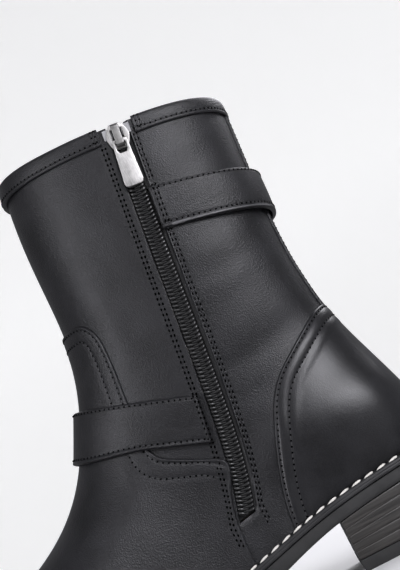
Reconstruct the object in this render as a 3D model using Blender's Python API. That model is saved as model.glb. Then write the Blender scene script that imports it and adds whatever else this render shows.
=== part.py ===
"""A right-foot engineer boot with a stacked heel, two straps and a zip on its inner side.

Sizes are in millimetres until place() turns them into metres. A point is (along, across, height):
along runs from the back of the heel to the toe, across is negative on the inner side of the foot,
and height is above the floor.
"""

from collections import namedtuple
import math

import bmesh
import bpy
import numpy as np
from mathutils import Matrix, Vector

MM = 0.001
INNER, OUTER = -1, 1

# Driving sizes of the boot
UPPER_LENGTH = 268.0
BALL_HALF_WIDTH = 48.0
ANKLE_HEIGHT = 110.0
COLLAR_BACK_HEIGHT = 241.3
COLLAR_FRONT_HEIGHT = 252.0
WALL = 2.0
GAP = 0.3
TOE_SWING = -5.0

# Pieces laid on the upper
OVERLAY = 1.1
BINDING_HEIGHT = 7.5
BINDING_THICK = 1.0
BACK_STRIP_HALF_WIDTH = 9.0
STRAP_THICK = 2.0
CHAPE_THICK = 1.3

# Sole and heel
WELT_OUT = 6.0
WELT_IN = 8.0
WELT_THICK = 4.0
SOLE_THICK = 6.0
INSOLE_THICK = 3.0
HEEL_BREAST = 62.0
HEEL_TAPER = 0.95
TOP_LIFT_THICK = 6.0
TREAD_BACK = 165.0
TREAD_FRONT = 222.0
TOE_SPRING = 8.0

# Zip
SLOT_HALF_WIDTH = 4.6
SLOT_LOW_LEVEL = 0.24
BINDING_FROM_ZIP = 7.0
TAPE_HALF_WIDTH = 9.0
TAPE_THICK = 0.8
COIL_HALF_WIDTH = 3.8
COIL_TOP = -0.1
SLIDER_BELOW_COLLAR = 6.8
SLIDER_THICK = 1.2
BRIDGE_HALF_WIDTH = 2.0
BRIDGE_THICK = 1.2
PULL_THICK = 1.6
PULL_LENGTH = 23.4
PULL_BAR = 0.9
HINGE_ALONG = 2.4
HINGE_CLEAR = 1.45

# Buckles
WIRE = 1.2
PRONG = 0.8
BUCKLE_LENGTH = 18.0

Line = namedtuple("Line", "along height")
Outline = namedtuple("Outline", "along inner outer")
Shaft = namedtuple("Shaft", "level half_depth")
Strap = namedtuple("Strap", "height slope start half_height front_droop")

# Side view of the upper: up the front from the toe, and up the back from the heel seat
FRONT = (
    Line(along=268.0, height=20.0),
    Line(along=267.3, height=31.0),
    Line(along=263.5, height=43.0),
    Line(along=254.5, height=52.0),
    Line(along=240.0, height=58.0),
    Line(along=219.0, height=64.5),
    Line(along=198.5, height=74.0),
    Line(along=181.0, height=87.5),
    Line(along=168.6, height=102.5),
    Line(along=158.5, height=121.0),
    Line(along=150.2, height=142.0),
    Line(along=145.6, height=166.0),
    Line(along=144.6, height=195.0),
    Line(along=143.8, height=225.0),
    Line(along=141.0, height=COLLAR_FRONT_HEIGHT),
)
BACK = (
    Line(along=1.6, height=43.2),
    Line(along=0.0, height=55.0),
    Line(along=3.0, height=71.0),
    Line(along=9.6, height=91.0),
    Line(along=16.2, height=111.0),
    Line(along=21.0, height=132.0),
    Line(along=23.4, height=157.0),
    Line(along=23.0, height=182.0),
    Line(along=21.2, height=208.0),
    Line(along=18.6, height=COLLAR_BACK_HEIGHT),
)
# Height of the upper's lower edge over the arch
FEATHER = (
    Line(along=-8.0, height=43.7),
    Line(along=0.0, height=43.2),
    Line(along=25.0, height=41.2),
    Line(along=45.0, height=39.1),
    Line(along=65.0, height=36.0),
    Line(along=100.0, height=27.5),
    Line(along=130.0, height=20.0),
    Line(along=160.0, height=14.8),
    Line(along=190.0, height=13.0),
    Line(along=215.0, height=13.2),
    Line(along=240.0, height=15.2),
    Line(along=UPPER_LENGTH, height=20.0),
    Line(along=276.0, height=21.6),
)
# Plan of the foot: along is a share of the length, the sides are shares of half the ball width
PLAN = (
    Outline(along=0.000, inner=0.00, outer=0.00),
    Outline(along=0.022, inner=0.38, outer=0.38),
    Outline(along=0.067, inner=0.60, outer=0.60),
    Outline(along=0.142, inner=0.70, outer=0.71),
    Outline(along=0.243, inner=0.71, outer=0.74),
    Outline(along=0.354, inner=0.68, outer=0.79),
    Outline(along=0.466, inner=0.70, outer=0.88),
    Outline(along=0.578, inner=0.83, outer=0.99),
    Outline(along=0.672, inner=0.94, outer=1.03),
    Outline(along=0.765, inner=0.97, outer=0.99),
    Outline(along=0.843, inner=0.90, outer=0.88),
    Outline(along=0.910, inner=0.73, outer=0.69),
    Outline(along=0.959, inner=0.51, outer=0.47),
    Outline(along=0.989, inner=0.26, outer=0.24),
    Outline(along=1.000, inner=0.00, outer=0.00),
)
# Half the depth of the shaft; level 1 is the ankle and level 2 the collar
SHAFT = (
    Shaft(level=0.30, half_depth=35.5),
    Shaft(level=1.00, half_depth=37.0),
    Shaft(level=1.15, half_depth=38.6),
    Shaft(level=1.35, half_depth=41.0),
    Shaft(level=1.65, half_depth=43.6),
    Shaft(level=2.00, half_depth=45.8),
)
# Middle of the zip, from its lower end up
ZIP = (
    Line(along=100.4, height=48.0),
    Line(along=96.6, height=62.0),
    Line(along=92.5, height=80.0),
    Line(along=87.8, height=112.0),
    Line(along=83.5, height=155.0),
    Line(along=79.3, height=201.0),
    Line(along=72.0, height=252.0),
)
# Side view of the overlays' edges
COUNTER_EDGE = (
    Line(along=-20.0, height=124.5),
    Line(along=10.0, height=123.5),
    Line(along=22.0, height=121.0),
    Line(along=35.0, height=116.0),
    Line(along=46.0, height=110.0),
    Line(along=55.0, height=103.0),
    Line(along=62.5, height=94.0),
    Line(along=68.5, height=82.0),
    Line(along=73.5, height=69.0),
    Line(along=78.0, height=55.0),
    Line(along=81.0, height=40.0),
    Line(along=82.0, height=20.0),
)
VAMP_EDGE = (
    Line(along=107.0, height=5.0),
    Line(along=106.5, height=48.0),
    Line(along=103.0, height=62.0),
    Line(along=100.2, height=75.5),
    Line(along=105.0, height=79.8),
    Line(along=112.0, height=83.5),
    Line(along=120.0, height=88.5),
    Line(along=126.0, height=95.5),
    Line(along=128.5, height=105.0),
    Line(along=128.0, height=120.0),
    Line(along=126.8, height=140.0),
    Line(along=127.0, height=154.5),
    Line(along=129.8, height=162.0),
    Line(along=136.0, height=165.8),
    Line(along=150.0, height=166.5),
    Line(along=190.0, height=166.5),
)
# A strap's middle is at this height where along equals start, and climbs towards the toe
UPPER_STRAP = Strap(height=188.9, slope=0.192, start=18.0, half_height=11.1, front_droop=0.0)
LOWER_STRAP = Strap(height=98.3, slope=0.366, start=98.0, half_height=11.9, front_droop=3.0)
UPPER_STRAP_TIP, UPPER_CHAPE_END, UPPER_BUCKLE_AT = 110.0, 122.0, 84.0
LOWER_STRAP_TIP, LOWER_CHAPE_END, LOWER_BUCKLE_AT = 87.0, 77.0, 113.0

# Rows and columns of the upper's mesh
LEVELS = np.array(
    [0, 0.08, 0.16, SLOT_LOW_LEVEL, 0.31, 0.37, 0.42, 0.47, 0.53, 0.61, 0.72, 0.85]
    + [1, 1.13, 1.27, 1.41, 1.55, 1.7, 1.85, 2]
)
FRONT_COLUMNS, OUTER_COLUMNS, BACK_COLUMNS = 16, 24, 8
OVERLAY_LOW_LEVEL = 0.012


def values(rows, name):
    return np.array([getattr(row, name) for row in rows], float)


def spline(knots, heights, x):
    """The natural cubic spline through the knots, level beyond its ends."""
    gap = np.diff(knots)
    slope = np.diff(heights) / gap
    size = len(knots)
    system = np.eye(size)
    right = np.zeros(size)
    for i in range(1, size - 1):
        system[i, i - 1 : i + 2] = gap[i - 1], 2 * (gap[i - 1] + gap[i]), gap[i]
        right[i] = 6 * (slope[i] - slope[i - 1])
    bend = np.linalg.solve(system, right)
    x = np.clip(x, knots[0], knots[-1])
    i = np.clip(np.searchsorted(knots, x) - 1, 0, size - 2)
    t = x - knots[i]
    rise = slope[i] - gap[i] * (2 * bend[i] + bend[i + 1]) / 6
    return heights[i] + t * (rise + t * (bend[i] / 2 + t * (bend[i + 1] - bend[i]) / (6 * gap[i])))


def traced(rows, count):
    """Points along a line in the side view, as (along, height) arrays."""
    along, height = values(rows, "along"), values(rows, "height")
    run = np.concatenate([[0], np.cumsum(np.hypot(np.diff(along), np.diff(height)))])
    at = np.linspace(0, run[-1], count)
    return spline(run, along, at), spline(run, height, at)


def eased(low, high, x):
    t = np.clip((x - low) / (high - low), 0, 1)
    return t * t * (3 - 2 * t)


def feather_height(along):
    return spline(values(FEATHER, "along"), values(FEATHER, "height"), along)


def collar_height(along):
    share = (along - BACK[-1].along) / (FRONT[-1].along - BACK[-1].along)
    return COLLAR_BACK_HEIGHT + share * (COLLAR_FRONT_HEIGHT - COLLAR_BACK_HEIGHT)


def level_height(level, along):
    """Level 0 is the lower edge, 1 the ankle and 2 the collar."""
    foot = feather_height(along)
    low = foot + level * (ANKLE_HEIGHT - foot)
    high = ANKLE_HEIGHT + (level - 1) * (collar_height(along) - ANKLE_HEIGHT)
    return np.where(level < 1, low, high)


def level_at(along, height):
    foot = feather_height(along)
    low = (height - foot) / (ANKLE_HEIGHT - foot)
    high = 1 + (height - ANKLE_HEIGHT) / (collar_height(along) - ANKLE_HEIGHT)
    return np.where(height < ANKLE_HEIGHT, low, high)


FRONT_ALONG, FRONT_HEIGHT = traced(FRONT, 400)
BACK_ALONG, BACK_HEIGHT = traced(BACK, 400)
FRONT_LEVEL = level_at(FRONT_ALONG, FRONT_HEIGHT)
BACK_LEVEL = level_at(BACK_ALONG, BACK_HEIGHT)


def ends(level):
    back = np.interp(level, BACK_LEVEL, BACK_ALONG)
    return back, np.interp(level, FRONT_LEVEL, FRONT_ALONG)


def ridge_level(along):
    """The level of the front line at this place; it goes on climbing behind the front of the collar."""
    over = np.maximum(FRONT[-1].along - along, 0) / 10
    return np.interp(along, FRONT_ALONG[::-1], FRONT_LEVEL[::-1]) + over


def plan(along, side):
    turn = np.arccos(np.clip(1 - 2 * along / UPPER_LENGTH, -1, 1))
    turns = np.arccos(1 - 2 * values(PLAN, "along"))
    inner = spline(turns, values(PLAN, "inner"), turn)
    outer = spline(turns, values(PLAN, "outer"), turn)
    return BALL_HALF_WIDTH * np.where(side == INNER, inner, outer)


def half_width(level, along, side):
    """The foot's arched section below, the shaft's oval above, eased into each other at the ankle."""
    back, front = ends(level)
    heel_share = 1 - eased(30, 150, along)
    roundness = np.clip((level / np.maximum(ridge_level(along), 1e-6) - 0.3) / 0.7, 0, 1)
    foot = plan(along - back * heel_share, side) * (1 - roundness**2.2) ** (1 / 1.9)
    across = np.clip(2 * (along - back) / (front - back) - 1, -1, 1)
    power = np.where(across < 0, 2.6, 2.15)
    depth = spline(values(SHAFT, "level"), values(SHAFT, "half_depth"), level)
    shaft = depth * (1 - np.abs(across) ** power) ** (1 / power)
    share = eased(0.35, 1.1, level)
    return foot * (1 - share) + shaft * share


def skin(level, angle):
    """The upper's outer face. The angle runs from the heel along the inner side to the toe and back."""
    level, angle = np.broadcast_arrays(np.asarray(level, float), np.mod(angle, 2 * math.pi))
    back, front = ends(level)
    along = back + (front - back) * (1 - np.cos(angle)) / 2
    side = np.where(angle < math.pi, INNER, OUTER)
    across = side * half_width(level, along, side) + TOE_SWING * eased(165, UPPER_LENGTH, along)
    return np.stack([along, across, level_height(level, along)], axis=-1)


def outward(level, angle):
    step = 1e-3
    round_it = skin(level, angle + step) - skin(level, angle - step)
    up = skin(np.minimum(level + step, 2), angle) - skin(np.maximum(level - step, 0), angle)
    normal = np.cross(round_it, up)
    return normal / np.linalg.norm(normal, axis=-1, keepdims=True)


def laid(level, angle, out):
    """A point this far outside the upper's outer face."""
    return skin(level, angle) + outward(level, angle) * np.asarray(out, float)[..., None]


def angle_at(level, along, side=INNER):
    back, front = ends(level)
    angle = np.arccos(np.clip(1 - 2 * (along - back) / (front - back), -1, 1))
    return angle if side == INNER else 2 * math.pi - angle


def zip_along(level):
    along = np.full(np.shape(level), ZIP[3].along)
    for _ in range(5):
        height = level_height(level, along)
        along = spline(values(ZIP, "height"), values(ZIP, "along"), height)
    return along


def columns(level):
    """Angles of the mesh's columns at each level, from the zip's front edge round to its back edge."""
    front_edge = angle_at(level, zip_along(level) + SLOT_HALF_WIDTH)
    back_edge = angle_at(level, zip_along(level) - SLOT_HALF_WIDTH)
    front = np.linspace(front_edge, np.full_like(front_edge, math.pi), FRONT_COLUMNS + 1)
    outer = np.linspace(math.pi, 2 * math.pi, OUTER_COLUMNS + 1)[1:, None] + 0 * level
    back = np.linspace(0 * back_edge, back_edge, BACK_COLUMNS + 1)[1:] + 2 * math.pi
    return np.concatenate([front, outer, back])


def rim(out, count=400):
    """The lower edge moved level outwards, from the heel along the inner side to the toe and back."""
    angle = np.linspace(0, 2 * math.pi, count, endpoint=False)
    normal = outward(0 * angle, angle)
    normal[:, 2] = 0
    normal /= np.linalg.norm(normal, axis=1, keepdims=True)
    return skin(0 * angle, angle) + normal * out


WELT_BOX = rim(WELT_OUT)
MIDDLE = (WELT_BOX.min(axis=0) + WELT_BOX.max(axis=0)) / 2


def place(points):
    """Metres in the boot's frame: the toe towards -X, the inner side towards -Y, the floor at Z = 0."""
    points = np.asarray(points, float)
    x = MIDDLE[0] - points[..., 0]
    y = points[..., 1] - MIDDLE[1]
    return np.stack([x, y, points[..., 2]], axis=-1) * MM


def place_direction(direction):
    return Vector((-direction[0], direction[1], direction[2])).normalized()


def clear_scene():
    for old in list(bpy.data.objects):
        bpy.data.objects.remove(old)


def collection(name):
    made = bpy.data.collections.new(name)
    bpy.context.scene.collection.children.link(made)
    return made


clear_scene()
BOOT = collection("engineer_boot")
CUTTERS = collection("cutters")


def material(name, colour, roughness, metallic=0.0):
    made = bpy.data.materials.new(name)
    made.use_nodes = True
    shader = made.node_tree.nodes["Principled BSDF"]
    shader.inputs["Base Color"].default_value = (*colour, 1)
    shader.inputs["Roughness"].default_value = roughness
    shader.inputs["Metallic"].default_value = metallic
    return made


def add(name, mesh, look=None, frame=None):
    """Adds a part, or a cutter when it has no look."""
    obj = bpy.data.objects.new(name, mesh)
    if frame is not None:
        obj.matrix_world = frame
    if look is None:
        obj.hide_render = True
        obj.display_type = "WIRE"
        CUTTERS.objects.link(obj)
    else:
        mesh.materials.append(material(name, *look))
        BOOT.objects.link(obj)
    return obj


def finished(name, form):
    bmesh.ops.remove_doubles(form, verts=form.verts, dist=1e-7)
    bmesh.ops.recalc_face_normals(form, faces=form.faces)
    mesh = bpy.data.meshes.new(name)
    form.to_mesh(mesh)
    form.free()
    return mesh


def shell(name, outer, inner, keep):
    """A wall between two grids, over the cells kept. Columns wrap, and both faces split alike."""
    form = bmesh.new()
    count = len(outer)
    faces = [place(outer), place(inner)]
    made = {}

    def corner(face, column, row):
        key = (face, column % count, row)
        if key not in made:
            made[key] = form.verts.new(faces[face][key[1], row])
        return made[key]

    def kept(column, row):
        return 0 <= row < keep.shape[1] and keep[column % count, row]

    for column, row in np.argwhere(keep):
        ring = ((column, row), (column + 1, row), (column + 1, row + 1), (column, row + 1))
        beside = ((column, row - 1), (column + 1, row), (column, row + 1), (column - 1, row))
        for half in (ring[:3], (ring[2], ring[3], ring[0])):
            form.faces.new([corner(0, *at) for at in half])
            form.faces.new([corner(1, *at) for at in reversed(half)])
        for side in range(4):
            if not kept(*beside[side]):
                start, end = ring[side], ring[(side + 1) % 4]
                form.faces.new([corner(0, *start), corner(1, *start), corner(1, *end), corner(0, *end)])
    return finished(name, form)


def loft(name, sections, closed=False):
    """Joins sections, each a closed ring of as many points, and caps the ends of an open run."""
    form = bmesh.new()
    rings = [[form.verts.new(point) for point in place(section)] for section in sections]
    size = len(rings[0])
    for i in range(len(rings) if closed else len(rings) - 1):
        one, two = rings[i], rings[(i + 1) % len(rings)]
        for j in range(size):
            form.faces.new([one[j], one[(j + 1) % size], two[(j + 1) % size], two[j]])
    if not closed:
        form.faces.new(rings[0])
        form.faces.new(reversed(rings[-1]))
    return finished(name, form)


def cut(obj, cutter, operation):
    modifier = obj.modifiers.new(cutter.name, "BOOLEAN")
    modifier.operation = operation
    modifier.solver = "EXACT"
    modifier.object = cutter


def side_prism(name, outline):
    """A cutter as wide as the boot, with this outline in the side view."""
    outline = np.asarray(outline, float)
    sections = []
    for across in (-90.0, 90.0):
        sections.append(np.stack([outline[:, 0], 0 * outline[:, 0] + across, outline[:, 1]], axis=1))
    return add(name, loft(name, sections))


def strip_between(out_low, out_high, levels, keep):
    angles = columns(levels)
    return laid(levels, angles, 0 * angles + out_high), laid(levels, angles, 0 * angles + out_low), keep


def sole_edges(out, along):
    """Where the rim moved outwards by this much crosses each place along the foot, on both sides."""
    edge = rim(out)
    half = len(edge) // 2
    inner = edge[: half + 1]
    outer = np.concatenate([edge[half:], edge[:1]])[::-1]
    return np.interp(along, inner[:, 0], inner[:, 1]), np.interp(along, outer[:, 0], outer[:, 1])


def stations(start, end, count):
    return start + (end - start) * (1 - np.cos(np.linspace(0, math.pi, count))) / 2


def sole_bottom(along):
    """Follows the heel seat, falls over the arch to a flat tread and lifts at the toe."""
    seat = feather_height(along) - WELT_THICK - 2 * GAP - SOLE_THICK
    breast = feather_height(np.array([HEEL_BREAST, HEEL_BREAST + 1]))
    start, slope = breast[0] - WELT_THICK - 2 * GAP - SOLE_THICK, breast[1] - breast[0]
    run = TREAD_BACK - HEEL_BREAST
    t = np.clip((along - HEEL_BREAST) / run, 0, 1)
    arch = start * (2 * t**3 - 3 * t**2 + 1) + slope * run * (t**3 - 2 * t**2 + t)
    toe = TOE_SPRING * (np.maximum(along - TREAD_FRONT, 0) / (UPPER_LENGTH + WELT_OUT - TREAD_FRONT)) ** 2
    return np.where(along < HEEL_BREAST, seat, arch + toe)


def plate(name, look, along, edges, top, bottom):
    """A plate cut across at each place along it. The lower edge may have its own places and sides."""
    low_along, low_edges = bottom[0], bottom[1]
    sections = np.stack(
        [
            np.stack([along, edges[0], top], axis=1),
            np.stack([along, edges[1], top], axis=1),
            np.stack([low_along, low_edges[1], bottom[2]], axis=1),
            np.stack([low_along, low_edges[0], bottom[2]], axis=1),
        ],
        axis=1,
    )
    return add(name, loft(name, sections), look)


def swept(points, radius, closed):
    """A wire through these points, as a mesh."""
    data = bpy.data.curves.new("wire", "CURVE")
    data.dimensions = "3D"
    data.bevel_depth = radius * MM
    data.bevel_resolution = 1
    data.use_fill_caps = not closed
    line = data.splines.new("POLY")
    line.points.add(len(points) - 1)
    for point, at in zip(line.points, points):
        point.co = (*(Vector(at) * MM), 1)
    line.use_cyclic_u = closed
    return from_curve(data)


def pressed(outlines, thick):
    """A flat plate of this thickness, from an outline and any holes in it, as a mesh."""
    data = bpy.data.curves.new("outline", "CURVE")
    data.dimensions = "2D"
    data.fill_mode = "BOTH"
    data.extrude = thick * MM / 2
    for outline in outlines:
        line = data.splines.new("POLY")
        line.points.add(len(outline) - 1)
        for point, at in zip(line.points, outline):
            point.co = (at[0] * MM, at[1] * MM, 0, 1)
        line.use_cyclic_u = True
    return from_curve(data)


def from_curve(data):
    holder = bpy.data.objects.new(data.name, data)
    mesh = bpy.data.meshes.new_from_object(holder)
    bpy.data.objects.remove(holder)
    form = bmesh.new()
    form.from_mesh(mesh)
    bpy.data.meshes.remove(mesh)
    return finished(data.name, form)


def rounded(width, height, radius, middle=(0, 0), steps=4):
    """Corners of a rectangle with round corners, in order."""
    points = []
    for turn, (sign_x, sign_y) in enumerate(((1, 1), (-1, 1), (-1, -1), (1, -1))):
        centre_x = middle[0] + sign_x * (width / 2 - radius)
        centre_y = middle[1] + sign_y * (height / 2 - radius)
        for step in range(steps + 1):
            angle = (turn + step / steps) * math.pi / 2
            points.append((centre_x + radius * math.cos(angle), centre_y + radius * math.sin(angle)))
    return points


def frame_at(point, down, out):
    """A right-handed frame with Y along down and Z along out."""
    z = place_direction(out)
    y = place_direction(down)
    y = (y - z * y.dot(z)).normalized()
    x = y.cross(z)
    frame = Matrix((x, y, z)).transposed().to_4x4()
    frame.translation = Vector(place(point))
    return frame


BLACK_LEATHER = ((0.028, 0.028, 0.03), 0.42)
STRAP_LEATHER = ((0.034, 0.034, 0.036), 0.4)
BLACK_RUBBER = ((0.03, 0.03, 0.03), 0.7)
STACKED_HEEL = ((0.035, 0.033, 0.032), 0.5)
TAN_BOARD = ((0.42, 0.32, 0.22), 0.75)
BLACK_NYLON = ((0.02, 0.02, 0.022), 0.5)
OLD_SILVER = ((0.56, 0.55, 0.53), 0.38, 1.0)


def make_upper():
    angles = columns(LEVELS)
    keep = np.ones((len(angles), len(LEVELS) - 1), bool)
    keep[-1, LEVELS[:-1] >= SLOT_LOW_LEVEL - 1e-9] = False
    mesh = shell("upper", laid(LEVELS, angles, 0 * angles), laid(LEVELS, angles, 0 * angles - WALL), keep)
    add("upper", mesh, BLACK_LEATHER)


def overlay_levels(highest):
    levels = LEVELS[LEVELS <= highest].copy()
    levels[0] = OVERLAY_LOW_LEVEL
    return levels


def columns_kept(levels, first, last):
    keep = np.zeros((FRONT_COLUMNS + OUTER_COLUMNS + BACK_COLUMNS + 1, len(levels) - 1), bool)
    keep[first:last] = True
    return keep


def make_vamp():
    levels = overlay_levels(1.56)
    keep = columns_kept(levels, 0, FRONT_COLUMNS + 16)
    obj = add("vamp", shell("vamp", *strip_between(GAP, GAP + OVERLAY, levels, keep)), BLACK_LEATHER)
    edge = np.stack(traced(VAMP_EDGE, 60), axis=1)
    cut(obj, side_prism("vamp_outline", [*edge, (300.0, 166.5), (300.0, 5.0)]), "INTERSECT")


def make_counter():
    levels = overlay_levels(1.28)
    last = FRONT_COLUMNS + OUTER_COLUMNS + BACK_COLUMNS
    keep = columns_kept(levels, FRONT_COLUMNS + 7, last)
    obj = add("counter", shell("counter", *strip_between(GAP, GAP + OVERLAY, levels, keep)), BLACK_LEATHER)
    edge = np.stack(traced(COUNTER_EDGE, 40), axis=1)
    cut(obj, side_prism("counter_outline", [*edge, (-20.0, 20.0)]), "INTERSECT")


def make_back_strip():
    levels = LEVELS[LEVELS >= 1]
    middle = FRONT_COLUMNS + OUTER_COLUMNS
    keep = columns_kept(levels, middle - 3, middle + 3)
    mesh = shell("back_strip", *strip_between(GAP, GAP + OVERLAY, levels, keep))
    obj = add("back_strip", mesh, BLACK_LEATHER)
    low = COUNTER_EDGE[1].height + 1.5
    high = COLLAR_BACK_HEIGHT - BINDING_HEIGHT - 1.0
    half = BACK_STRIP_HALF_WIDTH
    sections = []
    for height in (low, high):
        ring = ((-20, -half), (60, -half), (60, half), (-20, half))
        sections.append([(along, across, height) for along, across in ring])
    cut(obj, add("back_strip_box", loft("back_strip_box", sections)), "INTERSECT")


def make_collar_binding():
    level = np.array([2.0])
    angles = columns(level)[:, 0]
    angles[0] = angle_at(level, zip_along(level) + BINDING_FROM_ZIP)[0]
    angles[-1] = angle_at(level, zip_along(level) - BINDING_FROM_ZIP)[0] + 2 * math.pi
    height = collar_height(skin(2.0, angles)[:, 0])
    low = level_at(skin(2.0, angles)[:, 0], height - BINDING_HEIGHT)
    top = 0 * low + 2
    out = GAP + BINDING_THICK
    ring = (
        (low, GAP, 0),
        (low, out, 0),
        (top, out, GAP),
        (top, out - 0.7, GAP + BINDING_THICK),
        (top, 0.4 - WALL, GAP + BINDING_THICK),
        (top, -WALL, GAP),
        (top, GAP, GAP),
    )
    sections = []
    for at, offset, lift in ring:
        sections.append(laid(at, angles, 0 * angles + offset) + np.array([0, 0, lift]))
    add("collar_binding", loft("collar_binding", np.stack(sections, axis=1)), BLACK_LEATHER)


def strap_edge(shape, indices, share, out):
    """Points at this share of the strap's half height, on these columns of the upper."""
    level = np.full(len(indices), 1.0)
    for _ in range(6):
        angle = columns(level)[indices, np.arange(len(indices))]
        along = skin(level, angle)[:, 0]
        height = shape.height + shape.slope * (along - shape.start) + share * shape.half_height
        height = height - (1 - share) / 2 * shape.front_droop * eased(125, 160, along)
        level = level_at(along, height)
    angle = columns(level)[indices, np.arange(len(indices))]
    return laid(level, angle, out)


def band(name, shape, indices, out, thick, narrow=0.0):
    """A flat band round the upper, its inner face this far out on each column."""
    share = 1 - narrow
    rings = [
        strap_edge(shape, indices, -share, out),
        strap_edge(shape, indices, share, out),
        strap_edge(shape, indices, share, out + thick),
        strap_edge(shape, indices, -share, out + thick),
    ]
    return add(name, loft(name, np.stack(rings, axis=1)), STRAP_LEATHER)


def outer_index(shape, along):
    """The column on the outer side nearest to this place on the strap."""
    indices = np.arange(FRONT_COLUMNS, FRONT_COLUMNS + OUTER_COLUMNS + 1)
    middle = strap_edge(shape, indices, 0, 0.0 * indices)
    return indices[np.argmin(np.abs(middle[:, 0] - along))]


def make_buckle(name, shape, index, towards):
    """A frame over the strap, with one bar under it, and a prong. The strap's tip lies towards this way."""
    around = strap_edge(shape, np.array([index - 1, index, index + 1]), 0, np.zeros(3))
    out = place_direction(laid_normal(shape, index))
    tip = place_direction((around[2] - around[0]) * towards)
    tip = (tip - out * tip.dot(out)).normalized()
    frame = Matrix((out.cross(tip), tip, out)).transposed().to_4x4()
    frame.translation = Vector(place(around[1]))
    low, high = 0.4 + WIRE, 3.3 + STRAP_THICK + 0.5 + WIRE
    half = BUCKLE_LENGTH / 2
    ring = []
    for across, length in rounded(2 * (shape.half_height + 2.2), BUCKLE_LENGTH, 3.0):
        ring.append((across, length, low + (high - low) * (half - length) / BUCKLE_LENGTH))
    obj = add(name, swept(ring, WIRE, True), OLD_SILVER, frame)
    line = [(0, half - 2, high + 0.1), (0, 0, high + 0.3), (0, -half - 1.5, high + 0.9)]
    prong = add(name + "_prong", swept(line, PRONG, False), None, frame)
    cut(obj, prong, "UNION")


def laid_normal(shape, index):
    indices = np.array([index])
    inside = strap_edge(shape, indices, 0, np.zeros(1))
    return (strap_edge(shape, indices, 0, np.ones(1)) - inside)[0]


def make_straps():
    last = FRONT_COLUMNS + OUTER_COLUMNS + BACK_COLUMNS
    tip = outer_index(UPPER_STRAP, UPPER_STRAP_TIP)
    buckle = outer_index(UPPER_STRAP, UPPER_BUCKLE_AT)
    end = outer_index(UPPER_STRAP, UPPER_CHAPE_END)
    indices = np.arange(tip, last + 1)
    rise = 0.4 + 2.4 * eased(last, last - 5, indices) + 0.5 * eased(buckle + 3, buckle + 1, indices)
    band("upper_strap", UPPER_STRAP, indices, rise, STRAP_THICK)
    indices = np.arange(end, buckle - 1)
    band("upper_chape", UPPER_STRAP, indices, GAP + 0.0 * indices, CHAPE_THICK, 0.12)
    make_buckle("upper_buckle", UPPER_STRAP, buckle, -1)

    tip = outer_index(LOWER_STRAP, LOWER_STRAP_TIP)
    buckle = outer_index(LOWER_STRAP, LOWER_BUCKLE_AT)
    end = outer_index(LOWER_STRAP, LOWER_CHAPE_END)
    indices = np.arange(0, tip + 1)
    rise = 0.4 + 1.9 * eased(0, 6, indices) + 1.0 * eased(buckle - 3, buckle - 1, indices)
    band("lower_strap", LOWER_STRAP, indices, rise, STRAP_THICK)
    indices = np.arange(buckle + 2, end + 1)
    band("lower_chape", LOWER_STRAP, indices, GAP + 0.0 * indices, CHAPE_THICK, 0.12)
    make_buckle("lower_buckle", LOWER_STRAP, buckle, 1)


def make_zip_chain():
    levels = LEVELS[LEVELS >= SLOT_LOW_LEVEL - 1e-9].copy()
    levels[0] += 0.008
    levels[-1] -= 0.005
    tape = -WALL - 0.5
    ring = (
        (-TAPE_HALF_WIDTH, tape - TAPE_THICK),
        (0, tape - TAPE_THICK),
        (TAPE_HALF_WIDTH, tape - TAPE_THICK),
        (TAPE_HALF_WIDTH, tape),
        (COIL_HALF_WIDTH, tape),
        (COIL_HALF_WIDTH, COIL_TOP - 0.5),
        (COIL_HALF_WIDTH - 0.8, COIL_TOP),
        (0.8 - COIL_HALF_WIDTH, COIL_TOP),
        (-COIL_HALF_WIDTH, COIL_TOP - 0.5),
        (-COIL_HALF_WIDTH, tape),
        (-TAPE_HALF_WIDTH, tape),
    )
    sections = []
    for across, out in ring:
        angle = angle_at(levels, zip_along(levels) + across)
        sections.append(laid(levels, angle, 0 * angle + out))
    add("zip_chain", loft("zip_chain", np.stack(sections, axis=1)), BLACK_NYLON)


def slider_frame():
    level = np.array([2.0])
    along = zip_along(level)[0]
    height = collar_height(along) - SLIDER_BELOW_COLLAR
    level = level_at(along, height)[None]
    angle = angle_at(level, zip_along(level))
    lower = level - 0.05
    below = skin(lower, angle_at(lower, zip_along(lower)))[0]
    point = skin(level, angle)[0]
    return frame_at(point, below - point, outward(level, angle)[0])


def make_slider(frame):
    low = GAP
    top = low + SLIDER_THICK
    half = [(2.6, -7.2), (4.6, -4.8), (5.9, -1.4), (5.9, 0.2), (4.5, 4.4), (3.4, 6)]
    outline = half + [(-across, length) for across, length in reversed(half)]
    up = Matrix.Translation((0, 0, (low + top) * MM / 2))
    obj = add("zip_slider", pressed([outline], SLIDER_THICK), OLD_SILVER, frame @ up)
    ceiling = top + 2 * HINGE_CLEAR
    lower = HINGE_ALONG + PULL_BAR + 0.35
    arch = [
        (-6.2, top - 0.4),
        (-6.2, ceiling + 0.3),
        (-5.2, ceiling + BRIDGE_THICK),
        (lower + 0.7, ceiling + BRIDGE_THICK),
        (lower + 1.6, ceiling + 0.3),
        (lower + 1.6, top - 0.4),
        (lower, top - 0.4),
        (lower, ceiling),
        (-4.6, ceiling),
        (-4.6, top - 0.4),
    ]
    turned = Matrix(((0, 0, 1, 0), (1, 0, 0, 0), (0, 1, 0, 0), (0, 0, 0, 1)))
    bridge = add("zip_slider_bridge", pressed([arch], 2 * BRIDGE_HALF_WIDTH), None, frame @ turned)
    cut(obj, bridge, "UNION")


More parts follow.
